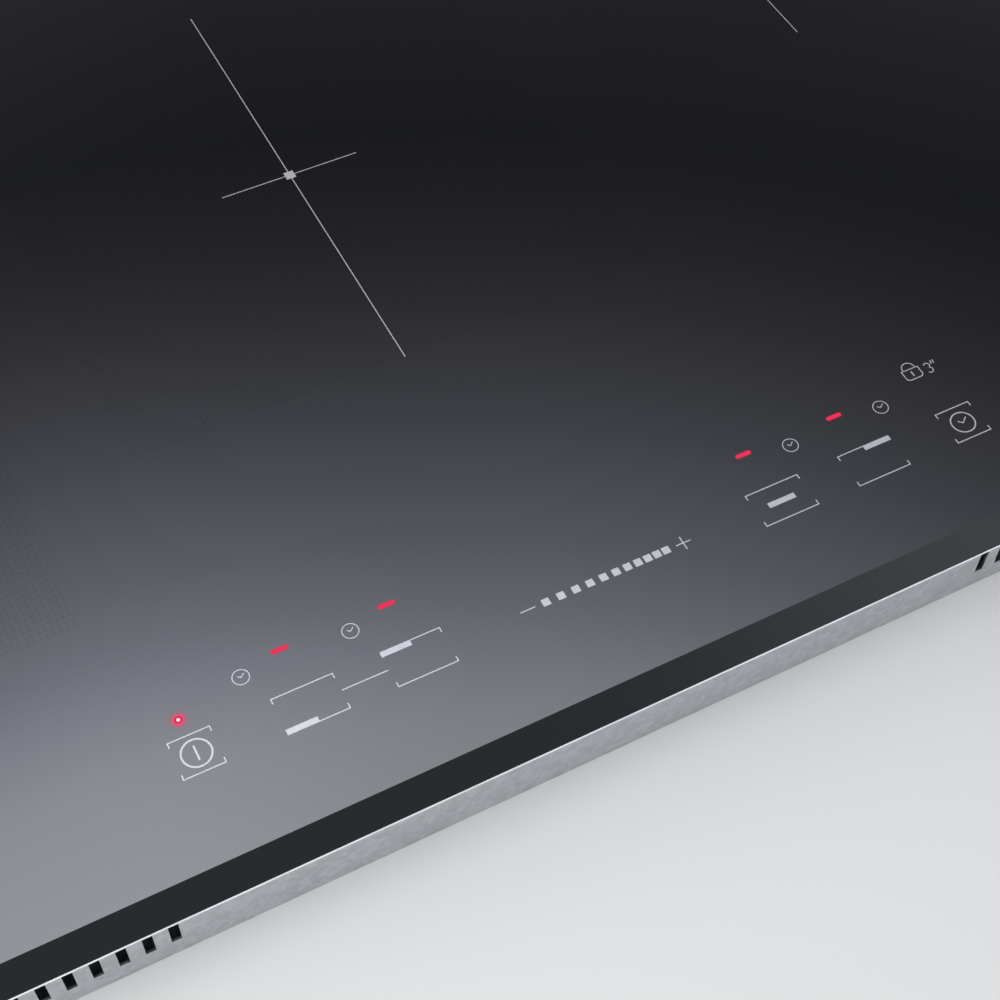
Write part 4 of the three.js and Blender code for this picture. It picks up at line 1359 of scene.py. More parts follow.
@dataclass
class GlassTop(Assembly):
    """The glass-ceramic plate with its ground facet; zones are in millimetres."""

    corner: float = 5.0 * MM
    corner_steps: int = 12
    facet_width: float = 12.0 * MM
    facet_drop: float = 2.4 * MM
    arris: float = 0.5 * MM
    crease: float = 0.18 * MM
    zones: tuple[Span, ...] = (
        (-122.8, 122.8, -62.9, 182.7),
        (-360, -169.8, -128.5, 221.5),
        (170, 360, 41, 221),
    )

    def build(self) -> None:
        """Cuts the facet off a slab, then softens its edges."""
        low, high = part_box("glass_top")
        work = bmesh.new()
        outline = rounded_outline(low.x, high.x, low.y, high.y, self.corner, self.corner_steps)
        add_prism(work, outline, low.z, high.z)
        slope = Vector((0, -self.facet_drop, self.facet_width)).normalized()
        line = Vector((0, low.y + self.facet_width, high.z))
        everything = [*work.verts, *work.edges, *work.faces]
        cut = bmesh.ops.bisect_plane(
            work, geom=everything, plane_co=line, plane_no=slope, clear_outer=True
        )
        rim = [item for item in cut["geom_cut"] if isinstance(item, bmesh.types.BMEdge)]
        bmesh.ops.edgeloop_fill(work, edges=rim)
        outward(work)
        self._soften(work, high.z, slope)
        # Upright faces turned to the front take the near-white painted highlight of the front edge;
        # the other upright faces take the dark ground edge.
        upright, to_front = 0.2, -0.95
        for face in work.faces:
            if abs(face.normal.z) < upright:
                face.material_index = 1 if face.normal.y < to_front else 2
        zones = tuple(tuple(side * MM for side in zone) for zone in self.zones)
        black = (0.0018, 0.0018, 0.002)
        glass = GlassCeramic("black_glass", "glass_ceramic", black, 0.012, index=1.3, zones=zones)
        piece = from_bmesh("glass_plate", work, glass, FRONT_EDGE_PAINTED_HIGHLIGHT, SIDE_EDGE)
        self.place(piece, glass, "glass_top")

    @staticmethod
    def _kinds(edge: bmesh.types.BMEdge, top: float, slope: Vector) -> tuple[bool, bool, bool]:
        """Which surfaces an edge borders.

        Args:
            edge: The edge.
            top: Height of the cooking surface.
            slope: The facet's normal.

        Returns:
            Whether it borders the cooking surface, the facet and a side.
        """
        normals = [face.normal for face in edge.link_faces]
        upper = any(normal.z > 0.99 and edge.verts[0].co.z > top - MM for normal in normals)
        facet = any(normal.dot(slope) > 0.999 for normal in normals)
        return upper, facet, any(abs(normal.z) < 0.1 for normal in normals)

    def _soften(self, work: Work, top: float, slope: Vector) -> None:
        """Rounds the arris along the sides and rear, and breaks the facet's creases.

        Args:
            work: The cut slab.
            top: Height of the cooking surface.
            slope: The facet's normal.
        """
        wide, fine = [], []
        for edge in work.edges:
            upper, facet, side = self._kinds(edge, top, slope)
            if upper and side and not facet:
                wide.append(edge)
            elif facet and (side or upper):
                fine.append(edge)
        for edges, offset, segments in ((wide, self.arris, 4), (fine, self.crease, 3)):
            edges = [edge for edge in edges if edge.is_valid]
            bmesh.ops.bevel(
                work, geom=edges, offset=offset, segments=segments, profile=0.5, affect="EDGES"
            )
        bmesh.ops.recalc_face_normals(work, faces=work.faces)


@dataclass(frozen=True)
class Key:
    """A touch key: two brackets, and a bar that says which zone it is for."""

    left: float
    right: float
    bar: Point | None = None
    row: Row | None = None

    @property
    def middle(self) -> float:
        """Middle of the key across the panel."""
        return (self.left + self.right) / 2


@dataclass
class PanelPrint(Assembly):
    """What is printed on the glass, in millimetres from the hob's middle and front edge."""

    proud: float = 0.03
    sunk: float = 0.02
    stroke: float = 0.47
    ring_stroke: float = 0.7
    bold_stroke: float = 0.57
    small_stroke: float = 0.38
    lock_stroke: float = 0.43
    second_stroke: float = 0.48
    rear_row: float = 64.5
    front_row: float = 48.1
    clock_row: float = 78.4
    tail: float = 2.2
    bar_height: float = 2.5
    bar_corner: float = 0.12
    keys: tuple[Key, ...] = (
        Key(-157.7, -140.8),
        Key(-116.9, -91.5, (-116.9, -104.1), Row.FRONT),
        Key(-72.2, -46.8, (-72.2, -59.5), Row.REAR),
        Key(90.2, 115.3, (96.4, 108.9), Row.MIDDLE),
        Key(134.8, 160.0, (147.4, 160.1), Row.REAR),
        Key(183.7, 200.7),
    )
    link: Point = (-91.5, -72.4)
    minus: Point = (-16.4, -9.9)
    power_ring: float = 5.76
    power_stroke: float = 6.4
    timer_ring: float = 5.17
    clocks: tuple[float, ...] = (-122.8, -77.9, 121.05, 165.9)
    clock_ring: float = 3.28
    ring_steps: int = 64
    hands: tuple[Point, ...] = ((-1.15, 0.85), (-0.05, -0.2), (1.7, 1.2))
    plus: float = 56.4
    plus_arm: float = 3.3
    steps: int = 11
    step_first: float = -5.2
    step_size: float = 3.3
    step_corner: float = 0.35
    step_pitch: float = 5.37
    step_swing: float = 1.25
    lock: Span = (184.6, 192.7, 84.7, 90.1)
    lock_top: float = 93.6
    lock_corner: float = 1.6
    shackle_inset: float = 1.1
    keyhole: tuple[Point, ...] = ((-0.4, -1.9), (0.0, -1.7), (0.0, -4.0))
    numeral: Point = (196.6, 87.2)
    lobes: tuple[tuple[float, ...], ...] = ((1.3, 1.3, 150, -90), (-1.3, 1.4, 90, -150))
    seconds: tuple[tuple[Point, Point], ...] = (((2.5, 1.3), (2.8, 3.1)), ((3.7, 1.3), (4.0, 3.1)))
    crosses: tuple[Place, ...] = ((0.0, 59.9, 122.5), (-265.7, 46.5, 175.0), (265.7, 131.0, 90.0))
    cross_arm: float = 33.4
    cross_square: float = 4.6
    cross_line: float = 0.43

    def build(self) -> None:
        """Prints the strokes and rings, then the slider's row of squares."""
        low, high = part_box("glass_top")
        self.front = low.y
        self.level = high.z
        self.row = (self.front_row + self.rear_row) / 2
        self.work = bmesh.new()
        for key in self.keys:
            self._key(key)
        self._symbols()
        self._lock()
        self._cooking_marks()
        for vertex in self.work.verts:
            vertex.co.x *= MM
            vertex.co.y = vertex.co.y * MM + self.front
        outward(self.work, FINE_MERGE)
        self.place(from_bmesh("printed_marks", self.work, PRINT), PRINT)
        self._slider()

    def _line(
        self, points: Sequence[Point], width: float | None = None, closed: bool = False
    ) -> None:
        """Prints one stroke, of the usual width unless another is given."""
        heights = (self.level - self.sunk * MM, self.level + self.proud * MM)
        add_ribbon(self.work, points, width or self.stroke, heights, closed)

    def _group(
        self, x: float, y: float, points: Sequence[Point], width: float | None = None
    ) -> None:
        """Prints one stroke whose points are given from a place."""
        self._line([(x + across, y + up) for across, up in points], width)

    def _ring(self, middle: Point, radius: float, width: float) -> None:
        """Prints one ring."""
        self._line(ring(middle, radius, self.ring_steps), width, closed=True)

    def _bar(self, x0: float, x1: float, y0: float, y1: float) -> None:
        """Prints one filled bar."""
        low, high = self.level - self.sunk * MM, self.level + self.proud * MM
        add_prism(self.work, rounded_outline(x0, x1, y0, y1, self.bar_corner, 2), low, high)

    def _key(self, key: Key) -> None:
        """Prints a key's brackets and bar; where the bar lies on a bracket, that stops at it.

        Args:
            key: The key.
        """
        half, half_bar = self.stroke / 2, self.bar_height / 2
        left, right = key.left + half, key.right - half
        for row, way, kind in ((self.rear_row, -1, Row.REAR), (self.front_row, 1, Row.FRONT)):
            end = row + way * self.tail
            corners = [(left, end), (left, row), (right, row), (right, end)]
            if key.row is kind:
                keep_left = sum(key.bar) / 2 > key.middle
                edge = (key.bar[0] if keep_left else key.bar[1], row)
                corners = [*corners[:2], edge] if keep_left else [edge, *corners[2:]]
            self._line(corners)
        if not key.bar:
            return
        middles = {
            Row.FRONT: self.front_row - half + half_bar,
            Row.REAR: self.rear_row + half - half_bar,
            Row.MIDDLE: self.row,
        }
        middle = middles[key.row]
        self._bar(*key.bar, middle - half_bar, middle + half_bar)

    def _symbols(self) -> None:
        """Prints the power and timer signs, the clocks, the link and the slider's ends."""
        row, power, timer = self.row, self.keys[0].middle, self.keys[-1].middle
        for ends in (self.link, self.minus, (self.plus - self.plus_arm, self.plus + self.plus_arm)):
            self._line([(x, row) for x in ends])
        for way in (-1, 1):
            self._group(self.plus, row, [(0, way * self.stroke / 2), (0, way * self.plus_arm)])
        self._ring((power, row), self.power_ring, self.ring_stroke)
        half = self.power_stroke / 2
        self._group(power, row, [(0, -half), (0, half)], self.ring_stroke)
        self._ring((timer, row), self.timer_ring, self.bold_stroke)
        grow = self.timer_ring / self.clock_ring
        self._group(timer, row, [(x * grow, y * grow) for x, y in self.hands])
        for x in self.clocks:
            self._ring((x, self.clock_row), self.clock_ring, self.small_stroke)
            self._group(x, self.clock_row, self.hands, self.small_stroke)

    def _lock(self) -> None:
        """Prints the padlock and the seconds for which it is held."""
        x0, x1, y0, y1 = self.lock
        middle, corner = (x0 + x1) / 2, self.lock_corner
        feet = [arc((x0 + corner, y0 + corner), corner, 180, 270, 5)]
        feet.append(arc((x1 - corner, y0 + corner), corner, 270, 360, 5))
        self._line([(x0, y1), *feet[0], *feet[1], (x1, y1)], self.lock_stroke, closed=True)
        reach = (x1 - x0) / 2 - self.shackle_inset
        rise = self.lock_top - y1 - reach
        bow = arc((middle, y1 + rise), reach, 0, 180, 14)
        self._line([(middle + reach, y1), *bow, (middle - reach, y1)], self.lock_stroke)
        self._group(middle, y1, self.keyhole, self.bold_stroke)
        x, y = self.numeral
        for up, radius, start, end in self.lobes:
            self._line(arc((x, y + up), radius, start, end, 12), self.lock_stroke)
        for mark in self.seconds:
            self._group(x, y, mark, self.second_stroke)

    def _cooking_marks(self) -> None:
        """Prints the cross in the middle of each cooking area."""
        half = self.cross_square / 2
        for x, y, reach in self.crosses:
            row = y - self.front / MM
            for way in (-1, 1):
                self._group(x, row, [(0, way * half), (0, way * reach)], self.cross_line)
                self._group(x, row, [(way * half, 0), (way * self.cross_arm, 0)], self.cross_line)
            self._bar(x - half, x + half, row - half, row + half)

    def _slider(self) -> None:
        """Sets the slider's squares, which stand closer towards the plus."""
        x, places = self.step_first, []
        for step in range(self.steps):
            places.append((x * MM, self.front + self.row * MM, self.level - self.sunk * MM))
            x += self.step_pitch + self.step_swing * math.cos(math.pi * step / (self.steps - 2))
        size, height = self.step_size * MM, (self.sunk + self.proud) * MM
        sizes = {"Width": size, "Depth": size, "Corner": self.step_corner * MM, "Height": height}
        self.place(self.recipes.slab.grow("slider_steps", host_mesh(places), PRINT, **sizes), PRINT)


@dataclass
class Lamps(Assembly):
    """Red lamps that shine through the glass: a dash for each zone, a dot for power."""

    dashes: tuple[float, ...] = (-105.2, -60.7, 101.0, 145.4)
    dash_row: float = 83.0
    length: float = 7.3 * MM
    width: float = 2.1 * MM
    thick: float = 0.05 * MM
    sunk: float = 0.02 * MM
    roundness: float = 0.498
    dot: Point = (-150.2, 72.0)
    dot_radius: float = 2.4 * MM
    halo: float = 5.2 * MM
    halo_span: Point = (-0.01 * MM, 0.015 * MM)

    def build(self) -> None:
        """Sets the dashes and the power lamp with its halo."""
        low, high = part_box("glass_top")
        row = low.y + self.dash_row * MM
        places = [(x * MM, row, high.z - self.sunk) for x in self.dashes]
        glow = LampGlow(
            "zone_lamp",
            "lamp_red",
            (0.83, 0.012, 0.075),
            core=(0.86, 0.028, 0.1),
            rim=(0.74, 0.016, 0.075),
            middles=tuple((x, y) for x, y, _ in places),
            half_length=(self.length - self.width) / 2,
            core_radius=0.9 * MM,
        )
        sizes = {"Width": self.length, "Depth": self.width, "Height": self.thick}
        corner = self.width * self.roundness
        dashes = self.recipes.slab.grow(
            "zone_lamps", host_mesh(places), glow, Corner=corner, **sizes
        )
        self.place(dashes, glow)
        middle = (self.dot[0] * MM, low.y + self.dot[1] * MM)
        power = LampGlow(
            "power_lamp",
            "lamp_red",
            (0.6, 0.0, 0.06),
            core=(1.0, 0.85, 0.9),
            rim=(0.9, 0.09, 0.2),
            power=1.1,
            middles=(middle,),
            glow_radius=self.dot_radius,
            halo_radius=self.halo,
        )
        work = bmesh.new()
        add_prism(work, ring(middle, self.halo, 48), *(high.z + edge for edge in self.halo_span))
        outward(work, FINE_MERGE)
        self.place(from_bmesh("power_lamp", work, power), power)


@dataclass
class RimSeal(Assembly):
    """Foam seal under the glass edge, and the silicone that holds the glass."""

    corner: float = 4.0 * MM
    inner_corner: float = 1.6 * MM
    corner_steps: int = 6
    gap: float = 3.5 * MM
    sides: int = 12
    squareness: float = 0.45

    def build(self) -> None:
        """Makes the foam as one soft closed strip."""
        low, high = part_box("rim_seal")
        frame_low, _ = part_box("bottom_tray")
        width = frame_low.x - low.x - self.gap
        half, middle = (high.z - low.z) / 2, (high.z + low.z) / 2
        outer = rounded_outline(low.x, high.x, low.y, high.y, self.corner, self.corner_steps)
        spans = (low.x + width, high.x - width, low.y + width, high.y - width)
        inner = rounded_outline(*spans, self.inner_corner, self.corner_steps)
        section = []
        for across, up in ring((0, 0), 1.0, self.sides):
            share = (1 + bulge(across, self.squareness)) / 2
            section.append((share, middle + half * bulge(up, self.squareness)))
        work = bmesh.new()
        loops = []
        for out, back in zip(outer, inner):
            spots = [
                (*(o * share + b * (1 - share) for o, b in zip(out, back)), z)
                for share, z in section
            ]
            loops.append([work.verts.new(spot) for spot in spots])
        add_skin(work, loops, closed=True)
        outward(work)
        for face in work.faces:
            face.smooth = True
        self.place(from_bmesh("rim_seal_foam", work, FOAM), FOAM, "rim_seal")
        self.dress(SILICONE, "glass_bond")


@dataclass
class Coils(Assembly):
    """Litz windings on their formers, with ferrites, springs, sensors and decks."""

    names: tuple[str, ...] = ("front_left", "rear_left", "centre", "rear_right")
    eye: float = 20.0 * MM
    wire: float = 3.2 * MM
    wire_room: float = 1.04
    last_turn: float = 0.9
    steps: int = 48
    sides: int = 8
    lay: float = 70.0
    band: float = 5.0 * MM
    band_sheet: float = 0.6 * MM
    band_round: float = 0.12 * MM
    waves: int = 4
    wave_steps: int = 96
    travel: float = 2.0 * MM

    def _spring(self, name: str) -> None:
        """A wave spring under one former, built in one fixed shape.

        Args:
            name: The coil's name.
        """
        node = f"wave_spring_{name}"
        low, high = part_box(node)
        middle, height = (low + high) / 2, high.z - low.z
        radius = (high.x - low.x - self.band) / 2
        half, thin = self.band / 2, self.band_sheet / 2
        section = rounded_outline(-half, half, -thin, thin, self.band_round, 1)
        gap = self.band_sheet / radius
        work = bmesh.new()
        loops = []
        for step in range(self.wave_steps + 1):
            angle = gap + (math.tau - 2 * gap) * step / self.wave_steps
            lift = middle.z - (height / 2 - self.band_sheet) * math.cos(self.waves * angle)
            x, y = math.cos(angle), math.sin(angle)
            spots = [
                (middle.x + (radius + r) * x, middle.y + (radius + r) * y, lift + up)
                for r, up in section
            ]
            loops.append([work.verts.new(spot) for spot in spots])
        add_skin(work, loops)
        for end in (loops[0], loops[-1]):
            work.faces.new(end)
        outward(work)
        piece = self.place(from_bmesh(f"spring_band_{name}", work, WAVE), WAVE, node)
        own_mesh(piece)

    def build(self) -> None:
        """Winds each coil flat between its eye and its edge."""
        for name in self.names:
            self._spring(name)
            node = f"coil_winding_{name}"
            low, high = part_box(node)
            outer = (high.x - low.x) / 2 - self.wire / 2
            inner = self.eye + self.wire / 2
            piece = self.recipes.spiral.grow(
                f"litz_spiral_{name}",
                host_mesh([]),
                LITZ,
                Steps=self.steps,
                Turns=math.floor((outer - inner) / (self.wire * self.wire_room)) + self.last_turn,
                Inner=inner,
                Outer=outer,
                Middle=(low + high) / 2,
                Lay=self.lay,
                Sides=self.sides,
                Radius=self.wire / 2,
            )
            self.place(piece, LITZ, node, body=f"coil_{name}")
        self.dress(MICA, "mica_disc")
        self.dress(FERRITE, "ferrite_star")
        self.dress(WHITE, "coil_former", "temp_sensor")
        self.dress(DECK, "coil_deck")


@dataclass
class Electronics(Assembly):
    """Boards with their parts, heat sinks, capacitors and the wound choke."""

    chip: Place = (3.2 * MM, 1.6 * MM, 1.1 * MM)
    cap_share: float = 0.18
    cap_lap: float = 0.04 * MM
    chip_round: float = 0.08 * MM
    clearance: float = 5.5 * MM
    density: float = 9000.0
    seed: int = 11
    board_rim: float = 12 * MM
    sink_gap: float = 14 * MM
    front_rim: float = 8 * MM
    bank_gap: float = 4 * MM
    filter_strip: Point = (34 * MM, 10 * MM)
    wire: float = 1.3 * MM
    choke_turns: float = 26.0
    turn_steps: int = 20
    wire_sides: int = 8
    choke_gap: float = 0.5
    core_around: int = 48
    core_sides: int = 16
    core_inset: float = 0.1 * MM
    core_squareness: float = 0.6

    def build(self) -> None:
        """Fills the boards, winds the choke, and dresses the rest."""
        self._board_parts()
        self._choke()
        self.dress(BOARD, "power_board", "filter_board", "control_board")
        self.dress(FINS, "heat_sink")
        self.dress(PACKAGE, "switch_bank")
        self.dress(BLUE, "capacitor_bank", "filter_capacitor")
        self.dress(GREY, "inverter_carrier", "control_carrier")
        self.dress(BLACK, "light_guide")

    def _chip(self, ends: bool) -> Piece:
        """A small chip part.

        Args:
            ends: Whether it is the two tinned ends, or else the ceramic middle.

        Returns:
            The part.
        """
        length, width, height = self.chip
        work = bmesh.new()
        half, cap = length / 2, length * self.cap_share
        spans = [(-half, cap - half), (half - cap, half)] if ends else [(cap - half, half - cap)]
        lap = 0.0 if ends else self.cap_lap
        side = width / 2 - lap
        for x0, x1 in spans:
            add_prism(work, [(x0, -side), (x1, -side), (x1, side), (x0, side)], 0, height - lap)
        bmesh.ops.bevel(
            work, geom=work.edges[:], offset=self.chip_round, segments=1, affect="EDGES"
        )
        outward(work, FINE_MERGE)
        return from_bmesh("chip_pattern", work)

    def _free_areas(self) -> list[tuple[float, ...]]:
        """Parts of the boards that nothing stands on.

        Returns:
            Left, right, front, rear and height of each.
        """
        free = []
        for side in ("left", "right"):
            board_low, board_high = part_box(f"power_board_{side}")
            sink_low, sink_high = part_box(f"heat_sink_{side}")
            bank_low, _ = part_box(f"capacitor_bank_{side}")
            outer = (board_low.x + self.board_rim, sink_low.x - self.sink_gap)
            inner = (sink_high.x + self.sink_gap, board_high.x - self.board_rim)
            rows = (board_low.y + self.front_rim, bank_low.y - self.bank_gap)
            free += [(*span, *rows, board_high.z) for span in (outer, inner)]
        low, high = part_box("filter_board")
        wide, rim = self.filter_strip
        free.append((high.x - wide, high.x - self.board_rim, low.y + rim, high.y - rim, high.z))
        return free

    def _board_parts(self) -> None:
        """Strews chip parts over the boards' free areas."""
        points, faces = [], []
        for x0, x1, y0, y1, z in self._free_areas():
            faces.append(tuple(range(len(points), len(points) + 4)))
            points += [(x0, y0, z), (x1, y0, z), (x1, y1, z), (x0, y1, z)]
        strew = {"Seed": self.seed, "Clearance": self.clearance, "Density": self.density}
        for name, ends, finish in (("chip_bodies", False, CERAMIC_CHIP), ("chip_ends", True, TIN)):
            part = self._chip(ends)
            host = host_mesh(points, faces)
            piece = self.recipes.scatter.grow(name, host, finish, Part=part, **strew)
            bpy.data.objects.remove(part)
            self.place(piece, finish)

    def _choke(self) -> None:
        """Winds enamelled wire round the filter's ring core, and makes the core."""
        low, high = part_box("filter_choke")
        middle, section = (low + high) / 2, (high.z - low.z) / 2
        around = (high.x - low.x) / 2 - section
        core = section - self.wire
        winding = self.recipes.winding.grow(
            "choke_winding",
            host_mesh([]),
            ENAMEL,
            Steps=int(self.choke_turns * self.turn_steps),
            Turns=self.choke_turns,
            Ring_radius=around,
            Core_radius=core + self.wire / 2,
            Core_half_height=core + self.wire / 2,
            Gap=self.choke_gap,
            Middle=middle,
            Lay=0.0,
            Sides=self.wire_sides,
            Radius=self.wire / 2,
        )
        self.place(winding, ENAMEL)
        work = bmesh.new()
        reach, power = core - self.core_inset, self.core_squareness
        rolls = ring((0, 0), 1.0, self.core_sides)
        loops = []
        for x, y in ring((0, 0), 1.0, self.core_around):
            spots = [
                (around + reach * bulge(wide, power), reach * bulge(tall, power))
                for wide, tall in rolls
            ]
            loops.append(
                [work.verts.new(middle + Vector((x * out, y * out, up))) for out, up in spots]
            )
        add_skin(work, loops, closed=True)
        outward(work)
        self.place(from_bmesh("choke_core", work, FERRITE), FERRITE, "filter_choke")


@dataclass
class Housing(Assembly):
    """Steel tray and frame, their screws, and the clips' rivets."""

    pan: Head = Head(3.6 * MM, 1.7 * MM)
    flat: Head = Head(3.4 * MM, 0.9 * MM)
    rivet: Head = Head(1.9 * MM, 0.8 * MM)
    below_rim: float = 6 * MM
    long_wall: tuple[float, ...] = (-300 * MM, -100 * MM, 100 * MM, 300 * MM)
    short_wall: tuple[float, ...] = (-90 * MM, 90 * MM)
    flat_level: float = 0.65 * MM
    carrier_inset: float = 12 * MM
    scroll_inset: Point = (4 * MM, 6 * MM)
    board_inset: float = 7 * MM
    terminal_inset: float = 8 * MM
    rivet_apart: float = 3.6 * MM
    rivet_up: float = 3 * MM
    clip_strip: float = 1.0 * MM

    def build(self) -> None:
        """Sets screws on the tray's walls and floor, and rivets on the clips."""
        self.dress(ZINC, "bottom_tray", "top_frame")
        self.dress(SPRING, "fixing_clip")
        self._wall_screws()
        self._floor_screws()
        self._rivets()

    def _wall_screws(self) -> None:
        """Screws that hold the frame's skirt, through the tray's walls."""
        low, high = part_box("bottom_tray")
        z = high.z - self.below_rim
        spots = []
        for x in self.long_wall:
            spots += [((x, low.y, z), Way.FRONT), ((x, high.y, z), Way.REAR)]
        for y in self.short_wall:
            spots += [((low.x, y, z), Way.LEFT), ((high.x, y, z), Way.RIGHT)]
        self.fasten("wall_screws", self.pan, spots, seed=5)

    @staticmethod
    def _corners(node: str, inset: Point, rear: bool) -> list[Point]:
        """Places in a node's corners in plan.

        Args:
            node: The CAD node.
            inset: How far in from its sides, across and along.
            rear: Whether the rear corners are wanted too.

        Returns:
            The places.
        """
        low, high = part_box(node)
        across, along = inset
        rows = (low.y + along, high.y - along) if rear else (low.y + along,)
        return [(x, y) for x in (low.x + across, high.x - across) for y in rows]

    def _floor_screws(self) -> None:
        """Low heads under the tray, one below each post of what stands in it."""
        places: list[Point] = []
        for side in ("left", "right"):
            places += self._corners(
                f"inverter_carrier_{side}", (self.carrier_inset,) * 2, rear=True
            )
            places += self._corners(f"fan_scroll_{side}", self.scroll_inset, rear=False)
        places += self._corners("filter_board", (self.board_inset,) * 2, rear=True)
        places += self._corners("terminal_box", (self.terminal_inset,) * 2, rear=False)
        spots = [((x, y, self.flat_level), Way.DOWN) for x, y in places]
        self.fasten("floor_screws", self.flat, spots, seed=8)

    def _rivets(self) -> None:
        """Two rivets in each clip's foot."""
        wall = abs(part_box("bottom_tray")[0].x) + self.clip_strip
        for end in ("front", "rear"):
            for side, face, way in (("left", -wall, Way.LEFT), ("right", wall, Way.RIGHT)):
                low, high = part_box(f"fixing_clip_{end}_{side}")
                middle, z = (low.y + high.y) / 2, low.z + self.rivet_up
                spots = [
                    ((face, middle + y, z), way) for y in (-self.rivet_apart, self.rivet_apart)
                ]
                self.fasten(f"clip_rivets_{end}_{side}", self.rivet, spots, 3, f"clip_{end}_{side}")


@dataclass
class Cooling(Assembly):
    """The two fans in their scroll housings."""

    def build(self) -> None:
        """Dresses the fans."""
        self.dress(BLACK, "fan_rotor", "fan_scroll")


@dataclass
class MainsEntry(Assembly):
    """Terminal box with its hinged cover, the terminals and the cable gland."""

    poles: int = 5
    pitch: float = 10.0 * MM
    depth: float = 4.8 * MM
    screw: Head = Head(2.7 * MM, 1.6 * MM)

    def build(self) -> None:
        """Sets the terminal screws and dresses the box."""
        self.dress(BLACK, "terminal_box", "cable_gland")
        self.dress(GREY, "terminal_cover")
        self.dress(WHITE, "terminal_block")
        low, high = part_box("terminal_block")
        middle, z = (low + high) / 2, high.z - self.depth
        first = middle.x - self.pitch * (self.poles - 1) / 2
        spots = [((first + self.pitch * pole, middle.y, z), Way.UP) for pole in range(self.poles)]
        self.fasten("terminal_screws", self.screw, spots, seed=2)


# -------------------------------------------------------------------- studio


@dataclass(frozen=True)
class Light:
    """A soft light that gloss doesn't see; size is a width in metres, or a sun's angle."""

    name: str
    kind: str
    place: Place
    size: float
    power: float

    def build(self) -> None:
        """Sets the light up, turned to the hob."""
        data = bpy.data.lights.new(self.name, self.kind)
        if self.kind == "SUN":
            data.angle = self.size
        else:
            data.size = self.size
        data.energy = self.power
        light = new_object(self.name, data)
        light.visible_glossy = False
        light.location = self.place
        light.rotation_euler = (-Vector(self.place)).to_track_quat("-Z", "Y").to_euler()


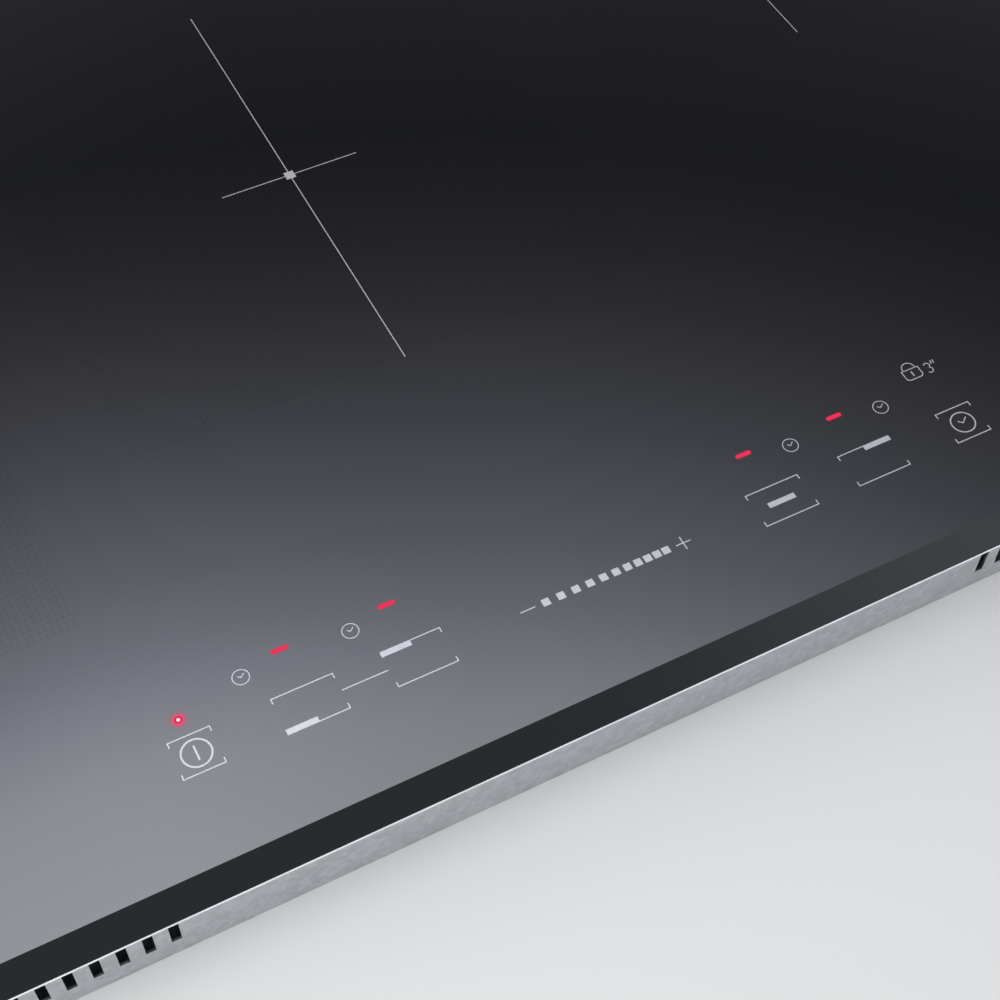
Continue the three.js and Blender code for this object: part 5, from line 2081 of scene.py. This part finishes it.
@dataclass
class Studio:
    """Floor, light and camera."""

    floor_size: float = 120.0
    floor_drop: float = 0.4 * MM
    camera_back: Place = (-202.7 * MM, -517.8 * MM, 583.1 * MM)
    heading: float = 28.86
    pitch: float = 54.06
    roll: float = 1.755
    lens: float = 64.62
    sensor: float = 36.0
    clip: float = 0.01
    gloss_scale: float = 6.0
    behind: Colour = (0.97, 1.02, 1.15)
    plain: Colour = (0.92, 0.94, 1.0)
    plain_strength: float = 0.56
    seen: Colour = (0.93, 0.94, 0.97)
    seen_strength: float = 0.51
    lights: tuple[Light, ...] = (
        Light("key_light", "AREA", (-0.8, -0.5, 1.05), 0.8, 10.0),
        Light("fill_light", "AREA", (1.9, -1.2, 1.6), 1.8, 3.0),
        Light("front_light", "SUN", (-0.4, -3.0, 1.5), math.radians(35), 0.75),
    )
    sky: tuple[tuple[float, Colour], ...] = (
        (0.0, (0.55, 0.55, 0.56)),
        (30.0, (0.42, 0.42, 0.44)),
        (38.0, (0.2, 0.2, 0.23)),
        (42.5, (0.145, 0.154, 0.196)),
        (44.0, (0.2, 0.2, 0.227)),
        (45.8, (0.285, 0.277, 0.34)),
        (47.7, (0.43, 0.425, 0.5)),
        (49.6, (0.643, 0.66, 0.768)),
        (51.5, (0.9, 0.96, 1.12)),
        (53.4, (1.34, 1.39, 1.6)),
        (55.3, (1.8, 1.88, 2.2)),
        (57.2, (2.5, 2.58, 3.05)),
        (59.1, (3.4, 3.6, 4.12)),
        (61.0, (4.33, 4.5, 4.95)),
        (62.3, (4.6, 4.78, 5.15)),
        (65.0, (5.0, 5.2, 5.7)),
        (68.0, (2.6, 2.65, 2.8)),
        (71.0, (1.3, 1.32, 1.42)),
        (75.0, (0.8, 0.82, 0.9)),
        (80.0, (0.55, 0.56, 0.62)),
        (90.0, (0.5, 0.5, 0.53)),
    )

    def build(self) -> None:
        """Sets up the whole studio."""
        self._camera()
        self._floor()
        self._world()
        for light in self.lights:
            light.build()
        view = bpy.context.scene.view_settings
        view.view_transform = "Standard"
        view.look = "None"
        view.exposure = 0.0

    def _camera(self) -> None:
        """Looks down over the left front of the hob at its panel."""
        low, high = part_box("glass_top")
        top = Vector(((low.x + high.x) / 2, (low.y + high.y) / 2, high.z))
        data = bpy.data.cameras.new("camera")
        data.lens = self.lens
        data.sensor_width = self.sensor
        data.clip_start = self.clip
        camera = new_object("camera", data)
        turn = Matrix.Rotation(math.radians(-self.heading), 3, "Z")
        tilt = Matrix.Rotation(math.radians(90 - self.pitch), 3, "X")
        roll = Matrix.Rotation(math.radians(self.roll), 3, "Z")
        place = Matrix.Translation(top + Vector(self.camera_back))
        camera.matrix_world = place @ (turn @ tilt @ roll).to_4x4()
        bpy.context.scene.camera = camera

    def _floor(self) -> None:
        """A plain pale floor just under the tray."""
        half, z = self.floor_size / 2, -self.floor_drop
        corners = [(-half, -half, z), (half, -half, z), (half, half, z), (-half, half, z)]
        mesh = host_mesh(corners, [(0, 1, 2, 3)])
        mesh.materials.append(Finish("studio_floor", "", (0.74, 0.74, 0.73), 0.85).material)
        new_object("floor", mesh)

    def _ceiling(self, graph: Graph, height: Num) -> Num:
        """Colour that gloss sees ahead, from the sky's rows.

        Args:
            graph: The world's graph.
            height: Sine of the elevation.

        Returns:
            The colour, divided by gloss_scale.
        """
        ramp = graph.node("ShaderNodeValToRGB", {"Fac": height})
        marks = ramp.color_ramp.elements
        for elevation, _ in self.sky[1:-1]:
            marks.new(math.sin(math.radians(elevation)))
        for mark, (_, colour) in zip(sorted(marks, key=lambda item: item.position), self.sky):
            mark.color = opaque(part / self.gloss_scale for part in colour)
        return Num(graph, ramp.outputs["Color"])

    def _world(self) -> None:
        """Pale light all round; gloss sees a soft lit ceiling instead."""
        world = bpy.data.worlds.new("studio")
        bpy.context.scene.world = world
        world.use_nodes = True
        world.node_tree.nodes.clear()
        graph = Graph(world.node_tree)
        x, y, z = graph.axes(graph.out("ShaderNodeTexCoord", key="Generated"))
        ahead = graph.spread(y, low=0.08, high=0.33)
        side = graph.spread(x, low=0.02, high=0.25, start=1.12, end=0.88)
        high = graph.spread(z, low=0.87, high=0.97, start=0.92, end=0.43)
        near = high * graph.spread(z, low=0.35, high=0.8, start=0.5, end=1.0)
        lit = self._glow(graph, self._ceiling(graph, z), ahead * side * self.gloss_scale)
        behind = self._glow(graph, opaque(self.behind), (1.0 - ahead) * near)
        gloss = graph.out("ShaderNodeAddShader", {0: lit, 1: behind})
        plain = self._glow(graph, opaque(self.plain), self.plain_strength)
        seen = self._glow(graph, opaque(self.seen), self.seen_strength)
        mixed = plain
        for key, shader in (("Is Camera Ray", seen), ("Is Glossy Ray", gloss)):
            share = graph.out("ShaderNodeLightPath", key=key)
            mixed = graph.out("ShaderNodeMixShader", {0: share, 1: mixed, 2: shader})
        graph.node("ShaderNodeOutputWorld", {"Surface": mixed})

    @staticmethod
    def _glow(graph: Graph, colour: Value, strength: Value) -> Num:
        """Adds a Background node."""
        return graph.out("ShaderNodeBackground", {"Color": colour, "Strength": strength})


def main() -> None:
    """Builds the studio and every assembly, and reports each piece."""
    logging.basicConfig(level=logging.INFO, format="%(name)s: %(message)s")
    Studio().build()
    recipes = Recipes()
    for kind in (
        GlassTop, PanelPrint, Lamps, RimSeal, Coils, Electronics, Housing, Cooling, MainsEntry
    ):
        assembly = kind(recipes)
        assembly.build()
        for piece in assembly.made:
            log.info("%s: %s, %d faces", kind.__name__, piece.name, len(piece.data.polygons))


if __name__ == "__main__":
    main()
